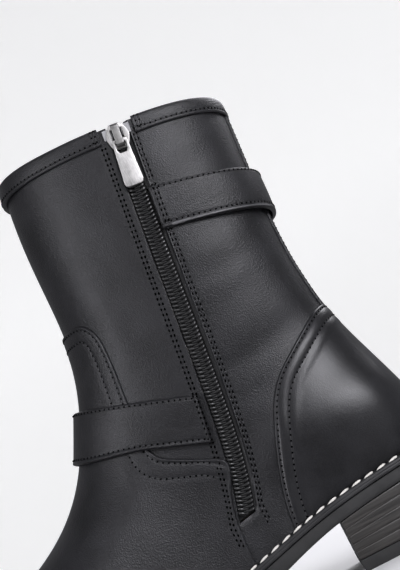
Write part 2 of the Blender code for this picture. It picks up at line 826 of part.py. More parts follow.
def make_pull(frame):
    hinge = frame @ Matrix.Translation((0, HINGE_ALONG * MM, (GAP + SLIDER_THICK + HINGE_CLEAR) * MM))
    outline = [(-3.4, -PULL_BAR), (3.4, -PULL_BAR), (4.0, 0), (4.2, 6), (4.9, PULL_LENGTH - 2)]
    outline += [(4.2, PULL_LENGTH - 0.4), (3.0, PULL_LENGTH)]
    outline += [(-across, length) for across, length in reversed(outline[2:])]
    at = (0, PULL_BAR + 2.6)
    hole = rounded(5.2, 5.2, 1.6, at, 3)[:8] + rounded(5.2, 5.2, 0.6, at, 3)[8:]
    add("zip_pull", pressed([outline, hole], PULL_THICK), OLD_SILVER, hinge)


def make_welt():
    outer, inner = rim(WELT_OUT, 72), rim(-WELT_IN, 72)
    sections = []
    for edge in (outer, inner):
        top = feather_height(edge[:, 0]) - GAP
        for height in (top, top - WELT_THICK):
            sections.append(np.stack([edge[:, 0], edge[:, 1], height], axis=1))
    ring = np.stack([sections[0], sections[1], sections[3], sections[2]], axis=1)
    add("welt", loft("welt", ring, True), BLACK_RUBBER)


def make_insole():
    edge = rim(-WALL - 0.7)
    along = stations(edge[:, 0].min(), edge[:, 0].max(), 34)
    edges = sole_edges(-WALL - 0.7, along)
    low = feather_height(along)
    plate("insole", TAN_BOARD, along, edges, low + INSOLE_THICK, (along, edges, low))


def make_outsole():
    out = WELT_OUT - 0.4
    edge = rim(out)
    along = stations(edge[:, 0].min(), edge[:, 0].max(), 40)
    along = np.sort(np.append(along, [TREAD_BACK, TREAD_FRONT]))
    edges = sole_edges(out, along)
    top = feather_height(along) - WELT_THICK - 2 * GAP
    plate("outsole", BLACK_RUBBER, along, edges, top, (along, edges, sole_bottom(along)))


def make_heel():
    out = WELT_OUT - 1.0
    edge = rim(out)
    quarter = np.linspace(0, math.pi / 2, 16)
    start = edge[:, 0].min()
    along = start + (HEEL_BREAST - start) * (1 - np.cos(quarter))
    edges = sole_edges(out, along)

    def narrowed(share):
        at = HEEL_BREAST - (HEEL_BREAST - along) * share
        return at, (edges[0] * share, edges[1] * share)

    seat = sole_bottom(along - 1e-6) - GAP
    foot = 0 * along
    middle = narrowed(HEEL_TAPER)
    plate("heel_block", STACKED_HEEL, along, edges, seat, (*middle, foot + TOP_LIFT_THICK + GAP))
    low = narrowed(HEEL_TAPER - 0.01)
    plate("heel_top_lift", BLACK_RUBBER, *middle, foot + TOP_LIFT_THICK, (*low, foot))


def main():
    make_upper()
    make_insole()
    make_welt()
    make_outsole()
    make_heel()
    make_vamp()
    make_counter()
    make_back_strip()
    make_collar_binding()
    make_straps()
    make_zip_chain()
    frame = slider_frame()
    make_slider(frame)
    make_pull(frame)


main()
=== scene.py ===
import math

import bmesh
import bpy
import numpy as np
from mathutils import Matrix, Vector
from mathutils.kdtree import KDTree


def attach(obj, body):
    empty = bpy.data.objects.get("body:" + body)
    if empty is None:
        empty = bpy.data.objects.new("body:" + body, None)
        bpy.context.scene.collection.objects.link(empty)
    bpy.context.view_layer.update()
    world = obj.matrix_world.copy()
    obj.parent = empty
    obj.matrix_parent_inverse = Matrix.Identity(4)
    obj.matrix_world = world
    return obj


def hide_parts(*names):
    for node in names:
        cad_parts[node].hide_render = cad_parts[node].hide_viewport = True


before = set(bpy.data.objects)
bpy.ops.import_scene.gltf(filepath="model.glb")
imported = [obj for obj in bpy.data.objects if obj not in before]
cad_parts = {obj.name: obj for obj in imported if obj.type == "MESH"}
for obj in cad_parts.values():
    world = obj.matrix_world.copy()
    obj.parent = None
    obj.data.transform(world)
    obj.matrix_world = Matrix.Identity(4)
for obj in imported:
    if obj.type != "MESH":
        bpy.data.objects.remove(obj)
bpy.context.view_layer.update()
print("frame:", len(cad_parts), "nodes of the boot")

mm = 0.001
tau = 2 * math.pi
inner, outer = -1, 1  # sides of the foot
boot = bpy.context.scene.collection

# A point of the boot is (along, across, height) in millimetres: along from the heel's back to the toe,
# across minus on the inner side, height over the floor
last = {
    "length": 268.0,
    "ballHalfWidth": 48.0,
    "ankle": 110.0,
    "collarBack": 241.3,
    "collarFront": 252.0,
    "wall": 2.0,
    "gap": 0.3,
    "toeSwing": -5.0,
    "toeSwingFrom": 165.0,
    "front": (  # side view, up the front from the toe
        (268.0, 20.0), (267.3, 31.0), (263.5, 43.0), (254.5, 52.0), (240.0, 58.0), (219.0, 64.5),
        (198.5, 74.0), (181.0, 87.5), (168.6, 102.5), (158.5, 121.0), (150.2, 142.0), (145.6, 166.0),
        (144.6, 195.0), (143.8, 225.0), (141.0, 252.0),
    ),
    "back": (  # side view, up the back from the heel seat
        (1.6, 43.2), (0.0, 55.0), (3.0, 71.0), (9.6, 91.0), (16.2, 111.0), (21.0, 132.0),
        (23.4, 157.0), (23.0, 182.0), (21.2, 208.0), (18.6, 241.3),
    ),
    "tracePoints": 2000,
    "feather": (  # lower edge of the upper over the arch
        (-8.0, 43.7), (0.0, 43.2), (25.0, 41.2), (45.0, 39.1), (65.0, 36.0), (100.0, 27.5), (130.0, 20.0),
        (160.0, 14.8), (190.0, 13.0), (215.0, 13.2), (240.0, 15.2), (268.0, 20.0), (276.0, 21.6),
    ),
    "plan": (  # share of the length, then inner and outer shares of half the ball width
        (0.000, 0.00, 0.00), (0.022, 0.38, 0.38), (0.067, 0.60, 0.60), (0.142, 0.70, 0.71),
        (0.243, 0.71, 0.74), (0.354, 0.68, 0.79), (0.466, 0.70, 0.88), (0.578, 0.83, 0.99),
        (0.672, 0.94, 1.03), (0.765, 0.97, 0.99), (0.843, 0.90, 0.88), (0.910, 0.73, 0.69),
        (0.959, 0.51, 0.47), (0.989, 0.26, 0.24), (1.000, 0.00, 0.00),
    ),
    "shaft": (  # level and half the depth of the shaft's oval
        (0.30, 35.5), (1.00, 37.0), (1.15, 38.6), (1.35, 41.0), (1.65, 43.6), (2.00, 45.8),
    ),
    "shaftLevels": (0.35, 1.1),  # where the foot's sections pass into the oval
    "ovalPowers": (2.6, 2.15),  # behind and in front
    "heelFades": (30.0, 150.0),
    "archFrom": 0.3,  # share of a section's height where its sides start to arch
    "archPowers": (2.2, 1.9),
    "ridgeRise": 0.6,
    "ridgeEase": 6.0,
}

zipper = {
    "line": (  # middle of the zip, from its lower end up
        (100.4, 48.0), (96.3, 62.0), (92.4, 80.0), (87.8, 112.0), (82.9, 155.0), (77.9, 200.0),
        (71.8, 252.0),
    ),
    "firstGuess": 88.0,
    "atCollar": 76.0,
    "slotHalfWidth": 4.6,
    "slotLowLevel": 0.24,
    "ledge": 1.3,  # strip of the upper beside the leather's edge behind the zip, lowered and given the near-black tape finish
    "toothPitch": 2.0,
    "frontRows": (3.3, 5.0),  # stitch rows, from the leather's edge
    "backRows": (2.9, 4.5),
}

foldMargin = 0.08
foldFade = 8.0  # width beside the boot's middle where folds fade
folds = (  # side, half width, depth and line of (along, height); the depth of a trough is minus
    (inner, 8.0, 0.6, ((34, 173), (52, 170), (78, 172))),
    (inner, 5.0, 0.35, ((40, 157), (54, 153), (76, 152))),
    (inner, 9.0, -1.35, ((16, 127), (42, 119), (60, 115), (88, 112))),
    (inner, 4.0, -0.3, ((60, 101), (80, 97))),
    (inner, 5.0, 0.3, ((32, 223), (48, 221), (66, 216))),
    (inner, 4.0, 0.4, ((66, 92), (74, 76), (80, 62))),
    (inner, 9.0, 0.6, ((126, 205), (122, 170), (118, 135))),
    (inner, 8.0, -0.45, ((108, 215), (106, 175), (107, 130))),
    (outer, 6.0, -0.5, ((34, 136), (58, 128), (82, 132))),
    (outer, 7.0, 0.5, ((30, 156), (60, 146), (92, 150))),
    (outer, 9.0, -0.4, ((36, 210), (66, 222), (98, 220))),
    (inner, 5.0, -0.5, ((168, 70), (186, 62), (206, 44))),
    (inner, 5.0, 0.4, ((180, 78), (196, 68), (214, 50))),
    (outer, 5.0, -0.5, ((166, 72), (184, 62), (204, 44))),
    (outer, 5.0, 0.4, ((180, 78), (196, 66), (212, 48))),
)


def smoothLine(knots, heights):  # natural cubic through the knots, level past its ends
    knots, heights = np.array(knots, float), np.array(heights, float)
    gap = np.diff(knots)
    slope = np.diff(heights) / gap
    size = len(knots)
    system, right = np.eye(size), np.zeros(size)
    for i in range(1, size - 1):
        system[i, i - 1 : i + 2] = gap[i - 1], 2 * (gap[i - 1] + gap[i]), gap[i]
        right[i] = 6 * (slope[i] - slope[i - 1])
    bend = np.linalg.solve(system, right)

    def at(x):
        x = np.clip(x, knots[0], knots[-1])
        i = np.clip(np.searchsorted(knots, x) - 1, 0, size - 2)
        t = x - knots[i]
        rise = slope[i] - gap[i] * (2 * bend[i] + bend[i + 1]) / 6
        return heights[i] + t * (rise + t * (bend[i] / 2 + t * (bend[i + 1] - bend[i]) / (6 * gap[i])))

    return at


def runAlong(points):  # distance of each point from the first, along the line
    return np.concatenate([[0], np.cumsum(np.linalg.norm(np.diff(points, axis=0), axis=1))])


def traced(rows, count):  # points along a line of the side view
    rows = np.array(rows, float)
    run = runAlong(rows)
    at = np.linspace(0, run[-1], count)
    return smoothLine(run, rows[:, 0])(at), smoothLine(run, rows[:, 1])(at)


def eased(low, high, x):
    t = np.clip((x - low) / (high - low), 0, 1)
    return t * t * (3 - 2 * t)


def bell(x, width):  # 1 in the middle, and near 0 at twice this width
    return np.exp(-((x / width) ** 2))


def quarterRound(distance, radius):  # from 0 at an edge to 1 where its round ends
    near = np.clip(distance / radius, 0, 1)
    return np.sqrt(np.maximum(1 - (1 - near) ** 2, 0))


featherHeight = smoothLine(*zip(*last["feather"]))
shaftDepth = smoothLine(*zip(*last["shaft"]))
zipAtHeight = smoothLine([row[1] for row in zipper["line"]], [row[0] for row in zipper["line"]])
planTurns = np.arccos(1 - 2 * np.array([row[0] for row in last["plan"]]))
planInner = smoothLine(planTurns, [row[1] for row in last["plan"]])
planOuter = smoothLine(planTurns, [row[2] for row in last["plan"]])


def collarHeight(along):
    share = (along - last["back"][-1][0]) / (last["front"][-1][0] - last["back"][-1][0])
    return last["collarBack"] + share * (last["collarFront"] - last["collarBack"])


def levelHeight(level, along):  # level 0 is the lower edge, 1 the ankle and 2 the collar
    foot = featherHeight(along)
    low = foot + level * (last["ankle"] - foot)
    return np.where(level < 1, low, last["ankle"] + (level - 1) * (collarHeight(along) - last["ankle"]))


def levelAt(along, height):
    foot = featherHeight(along)
    low = (height - foot) / (last["ankle"] - foot)
    high = 1 + (height - last["ankle"]) / (collarHeight(along) - last["ankle"])
    return np.where(height < last["ankle"], low, high)


frontAlong, frontHeight = traced(last["front"], last["tracePoints"])
backAlong, backHeight = traced(last["back"], last["tracePoints"])
frontLevel = levelAt(frontAlong, frontHeight)
backLevel = levelAt(backAlong, backHeight)


def ends(level):
    return np.interp(level, backLevel, backAlong), np.interp(level, frontLevel, frontAlong)


def ridgeLevel(along):
    over = last["ridgeRise"] * np.logaddexp(0, (last["front"][-1][0] - along) / last["ridgeEase"])
    return np.interp(along, frontAlong[::-1], frontLevel[::-1]) + over


def planWidth(along, side):
    turn = np.arccos(np.clip(1 - 2 * along / last["length"], -1, 1))
    return last["ballHalfWidth"] * np.where(side == inner, planInner(turn), planOuter(turn))


def halfWidth(level, along, side):  # the foot's arch below, the shaft's oval above
    back, front = ends(level)
    heelShare = 1 - eased(*last["heelFades"], along)
    arched = level / np.maximum(ridgeLevel(along), 1e-6) - last["archFrom"]
    roundness = np.clip(arched / (1 - last["archFrom"]), 0, 1)
    first, second = last["archPowers"]
    foot = planWidth(along - back * heelShare, side) * (1 - roundness**first) ** (1 / second)
    across = np.clip(2 * (along - back) / (front - back) - 1, -1, 1)
    power = np.where(across < 0, *last["ovalPowers"])
    shaft = shaftDepth(level) * (1 - np.abs(across) ** power) ** (1 / power)
    share = eased(*last["shaftLevels"], level)
    return foot * (1 - share) + shaft * share


def skin(level, angle):  # outer face of the upper, from the heel along the inner side to the toe and back
    level, angle = np.broadcast_arrays(np.asarray(level, float), np.mod(angle, tau))
    back, front = ends(level)
    along = back + (front - back) * (1 - np.cos(angle)) / 2
    side = np.where(angle < math.pi, inner, outer)
    swing = last["toeSwing"] * eased(last["toeSwingFrom"], last["length"], along)
    across = side * halfWidth(level, along, side) + swing
    return np.stack([along, across, levelHeight(level, along)], axis=-1)


def unit(vectors):
    return vectors / np.maximum(np.linalg.norm(vectors, axis=-1, keepdims=True), 1e-9)


def outward(level, angle):
    step = 2e-3
    roundIt = skin(level, angle + step) - skin(level, angle - step)
    up = skin(np.minimum(level + step, 2), angle) - skin(np.maximum(level - step, 0), angle)
    return unit(np.cross(roundIt, up))


def creased(points, rows, margin):  # how far troughs and ridges lift the leather; they taper to their ends
    total = np.zeros(points.shape[:-1])
    spot = points[..., [0, 2]]
    for side, width, depth, line in rows:
        line = np.array(line, float)
        best = np.full(total.shape, np.inf)
        taper = np.zeros(total.shape)
        for i in range(len(line) - 1):
            run = line[i + 1] - line[i]
            t = np.clip((spot - line[i]) @ run / (run @ run), 0, 1)
            away = np.linalg.norm(spot - line[i] - t[..., None] * run, axis=-1)
            share = margin + (1 - 2 * margin) * (i + t) / (len(line) - 1)
            taper = np.where(away < best, np.sin(math.pi * share), taper)
            best = np.minimum(best, away)
        shown = eased(0, foldFade, points[..., 1] * side)
        total += depth * bell(best, width) * taper * shown
    return total


heelForm = {
    "swell": 1.7,
    "swellLevel": 0.52,
    "swellWidth": 0.24,
    "tuck": 3.2,
    "tuckLevel": 0.6,
    "across": (3.0, 28.0),
    "along": (62.0, 92.0),
}


def tucked(level, points):  # the heel's sides swell over the counter and draw in above the welt
    shown = eased(*heelForm["across"], np.abs(points[..., 1]))
    shown = shown * (1 - eased(*heelForm["along"], points[..., 0]))
    swell = bell(level - heelForm["swellLevel"], heelForm["swellWidth"])
    tuck = (1 - np.clip(level / heelForm["tuckLevel"], 0, 1)) ** 2
    return shown * (heelForm["swell"] * swell - heelForm["tuck"] * tuck)


def laid(level, angle, out):  # a point this far over the leather
    base = skin(level, angle)
    rise = np.asarray(out, float) + creased(base, folds, foldMargin) + tucked(np.asarray(level, float), base)
    return base + outward(level, angle) * rise[..., None]


def angleAt(level, along):  # on the inner side
    back, front = ends(level)
    return np.arccos(np.clip(1 - 2 * (along - back) / (front - back), -1, 1))


def zipAlong(level):
    along = np.full(np.shape(level), zipper["firstGuess"])
    for _ in range(6):
        along = zipAtHeight(levelHeight(level, along))
    return along


# Columns run from the zip's front edge round the boot to its back edge
columnCounts = {"front": 16, "outer": 24, "back": 8}
toeColumn = columnCounts["front"]
heelColumn = toeColumn + columnCounts["outer"]
lastColumn = heelColumn + columnCounts["back"]


def columnAngle(level, column):
    frontEdge = angleAt(level, zipAlong(level) + zipper["slotHalfWidth"])
    backEdge = angleAt(level, zipAlong(level) - zipper["slotHalfWidth"])
    front = frontEdge + (math.pi - frontEdge) * column / toeColumn
    far = math.pi + math.pi * (column - toeColumn) / columnCounts["outer"]
    back = tau + backEdge * (column - heelColumn) / columnCounts["back"]
    return np.where(column <= toeColumn, front, np.where(column <= heelColumn, far, back))


rimAngles = np.linspace(0, tau, 400, endpoint=False)


def rim(out):  # lower edge moved level outwards
    normal = outward(0 * rimAngles, rimAngles)
    normal[:, 2] = 0
    return skin(0 * rimAngles, rimAngles) + unit(normal) * out


sole = {
    "weltOut": 6.0,
    "weltThick": 4.0,
    "soleThick": 6.0,
    "insoleThick": 3.0,
    "heelBreast": 62.0,
    "heelTaper": 0.95,
    "topLiftThick": 6.0,
    "treadBack": 165.0,
    "treadFront": 222.0,
    "toeSpring": 8.0,
}
weltBox = rim(sole["weltOut"])
middle = (weltBox.min(axis=0) + weltBox.max(axis=0)) / 2


def place(points):  # millimetres on the boot to metres in the frame
    points = np.asarray(points, float)
    x, y = middle[0] - points[..., 0], points[..., 1] - middle[1]
    return np.stack([x, y, points[..., 2]], axis=-1) * mm


def addNode(tree, kind, inputs=None, **settings):  # an input is a number, or an output of another node
    made = tree.nodes.new(kind)
    for name, value in settings.items():
        setattr(made, name, value)
    for socket, value in (inputs or {}).items():
        if isinstance(value, bpy.types.NodeSocket):
            tree.links.new(value, made.inputs[socket])
        else:
            made.inputs[socket].default_value = value
    return made


# Studio
studio = {
    "camera": {
        "along": 70.5, "distance": 0.657, "height": 0.0532, "lookUp": 9.5, "roll": 27.0, "focal": 1292.0,
        "longSidePixels": 570.0, "sensor": 36.0, "clipStart": 0.01,
    },
    "floor": {
        "colour": (0.8, 0.8, 0.8), "roughness": 0.9, "specular": 0.1,
        "radius": 2.4, "curve": 0.8, "curveSteps": 12, "turns": 96, "wallHeight": 2.2,
        "glow": 0.43, "glowFrom": 0.5, "glowFull": 1.6,
    },
    "world": (0.17, 0.17, 0.18),
    "lightColour": (0.95, 0.945, 1.0),
    "lights": (  # right, up and towards the camera from the aim in metres, then width, height and watts
        {"name": "keyBox", "at": (0.42, 0.8, 0.94), "size": (0.8, 0.5), "power": 14.0},
        {"name": "topBox", "at": (-0.3, 0.82, 0.97), "size": (0.5, 0.3), "power": 1.2},
        {"name": "leftBox", "at": (-1.04, -0.1, 0.8), "size": (0.34, 0.85), "power": 7.6},
        {"name": "backBox", "at": (0.15, 0.75, -0.98), "size": (1.5, 0.7), "power": 13.0},
    ),
    "aim": (85.0, 0.0, 150.0),
}


def cameraAxes():
    view = studio["camera"]
    roll, tilt = math.radians(view["roll"]), math.radians(view["lookUp"])
    flat, rise = Vector((1, 0, 0)), Vector((0, -math.sin(tilt), math.cos(tilt)))
    ahead = Vector((0, math.cos(tilt), math.sin(tilt)))
    right = flat * math.cos(roll) - rise * math.sin(roll)
    up = flat * math.sin(roll) + rise * math.cos(roll)
    return right, up, -ahead


def addCamera():
    view = studio["camera"]
    data = bpy.data.cameras.new("photoView")
    data.sensor_width = view["sensor"]
    data.lens = view["sensor"] * view["focal"] / view["longSidePixels"]
    data.clip_start = view["clipStart"]
    camera = bpy.data.objects.new("photoView", data)
    matrix = Matrix(cameraAxes()).transposed().to_4x4()
    across = (middle[0] - view["along"]) * mm
    matrix.translation = (across, -view["distance"] - middle[1] * mm, view["height"])
    camera.matrix_world = matrix
    boot.objects.link(camera)
    bpy.context.scene.camera = camera


def addLights():
    right, up, back = cameraAxes()
    aim = Vector(place(studio["aim"]))
    for row in studio["lights"]:
        data = bpy.data.lights.new(row["name"], "AREA")
        data.shape = "RECTANGLE"
        data.size, data.size_y = row["size"]
        data.energy = row["power"]
        data.color = studio["lightColour"]
        light = bpy.data.objects.new(row["name"], data)
        light.location = aim + right * row["at"][0] + up * row["at"][1] + back * row["at"][2]
        light.rotation_euler = (aim - light.location).to_track_quat("-Z", "Y").to_euler()
        light.visible_camera = False
        boot.objects.link(light)
    world = bpy.data.worlds.new("studio")
    world.use_nodes = True
    world.node_tree.nodes["Background"].inputs["Color"].default_value = (*studio["world"], 1)
    bpy.context.scene.world = world


def floorLook():  # the backdrop glows behind the boot only
    look = bpy.data.materials.new("paleFloor")
    look.use_nodes = True
    tree, floor = look.node_tree, studio["floor"]
    shader = tree.nodes["Principled BSDF"]
    shader.inputs["Base Color"].default_value = (*floor["colour"], 1)
    shader.inputs["Roughness"].default_value = floor["roughness"]
    shader.inputs["Specular IOR Level"].default_value = floor["specular"]
    shader.inputs["Emission Color"].default_value = (1, 1, 1, 1)
    coords = addNode(tree, "ShaderNodeTexCoord").outputs["Object"]
    depth = addNode(tree, "ShaderNodeSeparateXYZ", {"Vector": coords}).outputs["Y"]
    fade = {"Value": depth, "From Min": floor["glowFrom"], "From Max": floor["glowFull"]}
    fade["To Max"] = floor["glow"]
    glow = addNode(tree, "ShaderNodeMapRange", fade, interpolation_type="SMOOTHSTEP").outputs["Result"]
    tree.links.new(glow, shader.inputs["Emission Strength"])
    return look


def addFloor():  # a round pale floor that curves up into a wall
    floor = studio["floor"]
    flat, curve, turns = floor["radius"], floor["curve"], floor["turns"]
    profile = [(flat * share, 0.0) for share in (0.02, 0.25, 0.6, 1.0)]
    for step in range(1, floor["curveSteps"] + 1):
        turn = math.pi / 2 * step / floor["curveSteps"]
        profile.append((flat + curve * math.sin(turn), curve * (1 - math.cos(turn))))
    profile.append((flat + curve, curve + floor["wallHeight"]))
    points = [(0.0, 0.0, 0.0)]
    faces = []
    for radius, height in profile:
        for i in range(turns):
            points.append((radius * math.cos(tau * i / turns), radius * math.sin(tau * i / turns), height))
    for i in range(turns):
        faces.append((0, 1 + i, 1 + (i + 1) % turns))
        for ring in range(len(profile) - 1):
            low, high = 1 + ring * turns, 1 + (ring + 1) * turns
            faces.append((low + i, high + i, high + (i + 1) % turns, low + (i + 1) % turns))
    mesh = bpy.data.meshes.new("floor")
    mesh.from_pydata(points, [], faces)
    mesh.shade_smooth()
    mesh.materials.append(floorLook())
    piece = bpy.data.objects.new("floor", mesh)
    piece.visible_glossy = False  # the dark leather mirrors the lights alone
    boot.objects.link(piece)


bpy.context.scene.view_settings.view_transform = "Standard"
addCamera()
addLights()
addFloor()
print("studio: camera, lights and floor")


# Finishes
noiseRange = (0.3, 0.7)  # where most of a noise lies


class Finish:  # a material and short ways to its nodes
    def __init__(self, name, colour, roughness, metallic=0.0):
        self.material = bpy.data.materials.new(name)
        self.material.use_nodes = True
        self.tree = self.material.node_tree
        self.shader = self.tree.nodes["Principled BSDF"]
        self.set("Base Color", (*colour, 1))
        self.set("Roughness", roughness)
        self.set("Metallic", metallic)
        self.coords = addNode(self.tree, "ShaderNodeTexCoord").outputs["Object"]

    def set(self, socket, value):
        self.shader.inputs[socket].default_value = value

    def feed(self, socket, value):
        self.tree.links.new(value, self.shader.inputs[socket])

    def stretched(self, scale):
        inputs = {"Vector": self.coords, "Scale": scale}
        return addNode(self.tree, "ShaderNodeMapping", inputs).outputs["Vector"]

    def noise(self, scale, detail=2.0, rough=0.5, coords=None):
        inputs = {"Vector": coords or self.coords, "Scale": scale, "Detail": detail, "Roughness": rough}
        return addNode(self.tree, "ShaderNodeTexNoise", inputs).outputs["Fac"]

    def cells(self, scale, smoothness):
        inputs = {"Vector": self.coords, "Scale": scale, "Smoothness": smoothness}
        return addNode(self.tree, "ShaderNodeTexVoronoi", inputs, feature="SMOOTH_F1").outputs["Distance"]

    def checks(self, scale):
        inputs = {"Vector": self.coords, "Scale": scale}
        return addNode(self.tree, "ShaderNodeTexChecker", inputs).outputs["Fac"]

    def ranged(self, value, old, new):  # the old range stretched over the new one
        inputs = {"Value": value, "From Min": old[0], "From Max": old[1], "To Min": new[0], "To Max": new[1]}
        return addNode(self.tree, "ShaderNodeMapRange", inputs).outputs["Result"]

    def sum(self, one, two, weight):
        inputs = {0: two, 1: weight, 2: one}
        return addNode(self.tree, "ShaderNodeMath", inputs, operation="MULTIPLY_ADD").outputs[0]

    def colours(self, value, places, dark, light):
        ramp = addNode(self.tree, "ShaderNodeValToRGB", {"Fac": value})
        for element, at, colour in zip(ramp.color_ramp.elements, places, (dark, light)):
            element.position = at
            element.color = (*colour, 1)
        self.feed("Base Color", ramp.outputs["Color"])

    def rough(self, value, least, most):
        self.feed("Roughness", self.ranged(value, noiseRange, (least, most)))

    def bump(self, value, strength, distance):
        inputs = {"Height": value, "Strength": strength, "Distance": distance}
        self.feed("Normal", addNode(self.tree, "ShaderNodeBump", inputs).outputs["Normal"])


leatherLook = {
    "mottleScale": 55.0,
    "speckScale": 1300.0,
    "speckWeight": 0.8,
    "mottleRange": (0.66, 1.14),
    "sheenScale": 700.0,
    "grainScale": 1550.0,
    "grainSmoothness": 0.6,
    "poreScale": 3600.0,
    "poreWeight": 0.7,
    "rippleScale": 420.0,
    "rippleWeight": 0.3,
    "grainDepth": 0.0004,
    "grainStrength": 0.42,
    "coat": 0.05,
    "coatRoughness": 0.3,
}


def leather(name, dark, light, least, most, strength, specular):
    look, made = leatherLook, Finish(name, dark, least)
    specks = made.noise(look["speckScale"], 3.0, 0.6)
    mottle = made.sum(made.noise(look["mottleScale"], 4.0, 0.55), specks, look["speckWeight"])
    made.colours(made.ranged(mottle, look["mottleRange"], (0.0, 1.0)), (0.0, 1.0), dark, light)
    made.rough(made.noise(look["sheenScale"], 4.0, 0.65), least, most)
    pores = made.noise(look["poreScale"], 3.0, 0.6)
    grain = made.sum(made.cells(look["grainScale"], look["grainSmoothness"]), pores, look["poreWeight"])
    grain = made.sum(grain, made.noise(look["rippleScale"]), look["rippleWeight"])
    made.bump(grain, look["grainStrength"] * strength, look["grainDepth"])
    made.set("Specular IOR Level", specular)
    made.set("Coat Weight", look["coat"])
    made.set("Coat Roughness", look["coatRoughness"])
    return made.material


def plain(name, dark, light, least, most, scale, bumpScale, strength, depth, specular):
    made = Finish(name, dark, least)
    made.set("Specular IOR Level", specular)
    made.colours(made.noise(scale, 3.0), (0.35, 0.65), dark, light)
    made.rough(made.noise(scale * 2.3), least, most)
    made.bump(made.noise(bumpScale, 3.0, 0.6), strength, depth)
    return made.material


silverLook = {
    "brushScale": 900.0, "brushStretch": (3.0, 3.0, 0.35), "wearScale": 260.0, "wearWeight": 0.7,
    "colourPlaces": (0.5, 0.95), "roughness": (0.38, 0.52), "bump": (0.25, 0.0001),
}


def brushedSilver(name, dark, light):
    made = Finish(name, dark, silverLook["roughness"][0], 1.0)
    brushed = made.noise(silverLook["brushScale"], 3.0, 0.6, made.stretched(silverLook["brushStretch"]))
    wear = made.sum(brushed, made.noise(silverLook["wearScale"], 3.0), silverLook["wearWeight"])
    made.colours(wear, silverLook["colourPlaces"], dark, light)
    made.rough(brushed, *silverLook["roughness"])
    made.bump(brushed, *silverLook["bump"])
    return made.material


tapeLook = {
    "weaveScale": 2600.0, "fuzzScale": 900.0, "fuzzWeight": 0.5, "colourPlaces": (0.2, 1.1),
    "roughness": 0.85, "bump": (0.4, 0.00015), "sheen": 0.2,
}


def wovenTape(name, dark, light):
    made = Finish(name, dark, tapeLook["roughness"])
    weave = made.checks(tapeLook["weaveScale"])
    fuzzy = made.sum(weave, made.noise(tapeLook["fuzzScale"]), tapeLook["fuzzWeight"])
    made.colours(fuzzy, tapeLook["colourPlaces"], dark, light)
    made.bump(weave, *tapeLook["bump"])
    made.set("Sheen Weight", tapeLook["sheen"])
    return made.material


stackLook = {"stretch": (25.0, 25.0, 900.0), "roughness": (0.34, 0.5), "bump": (0.2, 0.0002)}


def stackedLeather(name, dark, light):
    made = Finish(name, dark, stackLook["roughness"][0])
    layers = made.noise(1.0, 4.0, 0.7, made.stretched(stackLook["stretch"]))
    made.colours(layers, (0.35, 0.65), dark, light)
    made.rough(layers, *stackLook["roughness"])
    made.bump(layers, *stackLook["bump"])
    return made.material


leathers = {  # dark and light colour, least and most roughness, share of the grain, gloss
    "upperLeather": ((0.006, 0.006, 0.0068), (0.016, 0.016, 0.018), 0.28, 0.36, 1.0, 0.36),
    "strapLeather": ((0.007, 0.007, 0.0078), (0.017, 0.017, 0.019), 0.28, 0.36, 1.0, 0.36),
    "polishedLeather": ((0.006, 0.006, 0.0068), (0.016, 0.016, 0.018), 0.3, 0.37, 0.3, 0.42),
    "lining": ((0.30, 0.29, 0.28), (0.36, 0.35, 0.335), 0.62, 0.75, 0.7, 0.36),
    "insoleLeather": ((0.36, 0.27, 0.18), (0.44, 0.34, 0.235), 0.55, 0.7, 1.0, 0.36),
}
tapes = {
    "zipTape": ((0.003, 0.003, 0.0033), (0.008, 0.008, 0.0085)),
    "tapeEnd": ((0.26, 0.26, 0.27), (0.40, 0.40, 0.41)),
}
silvers = {
    "oldSilver": ((0.32, 0.316, 0.308), (0.62, 0.61, 0.595)),
    "darkSilver": ((0.15, 0.15, 0.147), (0.32, 0.315, 0.305)),
}
stacks = {"heelStack": ((0.018, 0.017, 0.016), (0.045, 0.042, 0.039))}
# Dark and light colour, least and most roughness, scale of the colour and of the bump, bump strength
# and depth, gloss
plainLooks = {
    # lighter grey along the upper strap's lower edge: a painted highlight
    "paintedEdge": ((0.06, 0.06, 0.063), (0.08, 0.08, 0.084), 0.36, 0.45, 300.0, 2200.0, 0.2, 0.0002, 0.5),
    "thread": ((0.016, 0.016, 0.018), (0.026, 0.026, 0.028), 0.45, 0.6, 900.0, 4200.0, 0.5, 0.0002, 0.5),
    # near-black and matte: the painted shade of the stitch holes
    "pinhole": ((0.001, 0.001, 0.001), (0.002, 0.002, 0.002), 0.9, 1.0, 400.0, 2000.0, 0.1, 0.0001, 0.0),
    "creamThread": ((0.66, 0.64, 0.59), (0.80, 0.78, 0.73), 0.6, 0.75, 700.0, 3000.0, 0.6, 0.0003, 0.4),
    "coilNylon": ((0.01, 0.01, 0.01), (0.018, 0.018, 0.018), 0.31, 0.41, 500.0, 2600.0, 0.2, 0.0001, 1.0),
    "weltRubber": ((0.017, 0.017, 0.018), (0.026, 0.026, 0.027), 0.45, 0.58, 90.0, 2400.0, 0.15, 2e-4, 0.4),
    "soleRubber": ((0.016, 0.016, 0.016), (0.024, 0.024, 0.024), 0.6, 0.75, 90.0, 1800.0, 0.25, 3e-4, 0.4),
}
makers = (
    (leather, leathers),
    (wovenTape, tapes),
    (brushedSilver, silvers),
    (stackedLeather, stacks),
    (plain, plainLooks),
)
looks = {}
for maker, table in makers:
    for name, values in table.items():
        looks[name] = maker(name, *values)
print("finishes:", len(looks))


# Meshes
sharp = {  # degrees between faces past which an edge is sharp
    "shell": 50, "leather": 60, "buckle": 40, "nylon": 42, "zipMetal": 35, "welt": 40, "sole": 38,
}


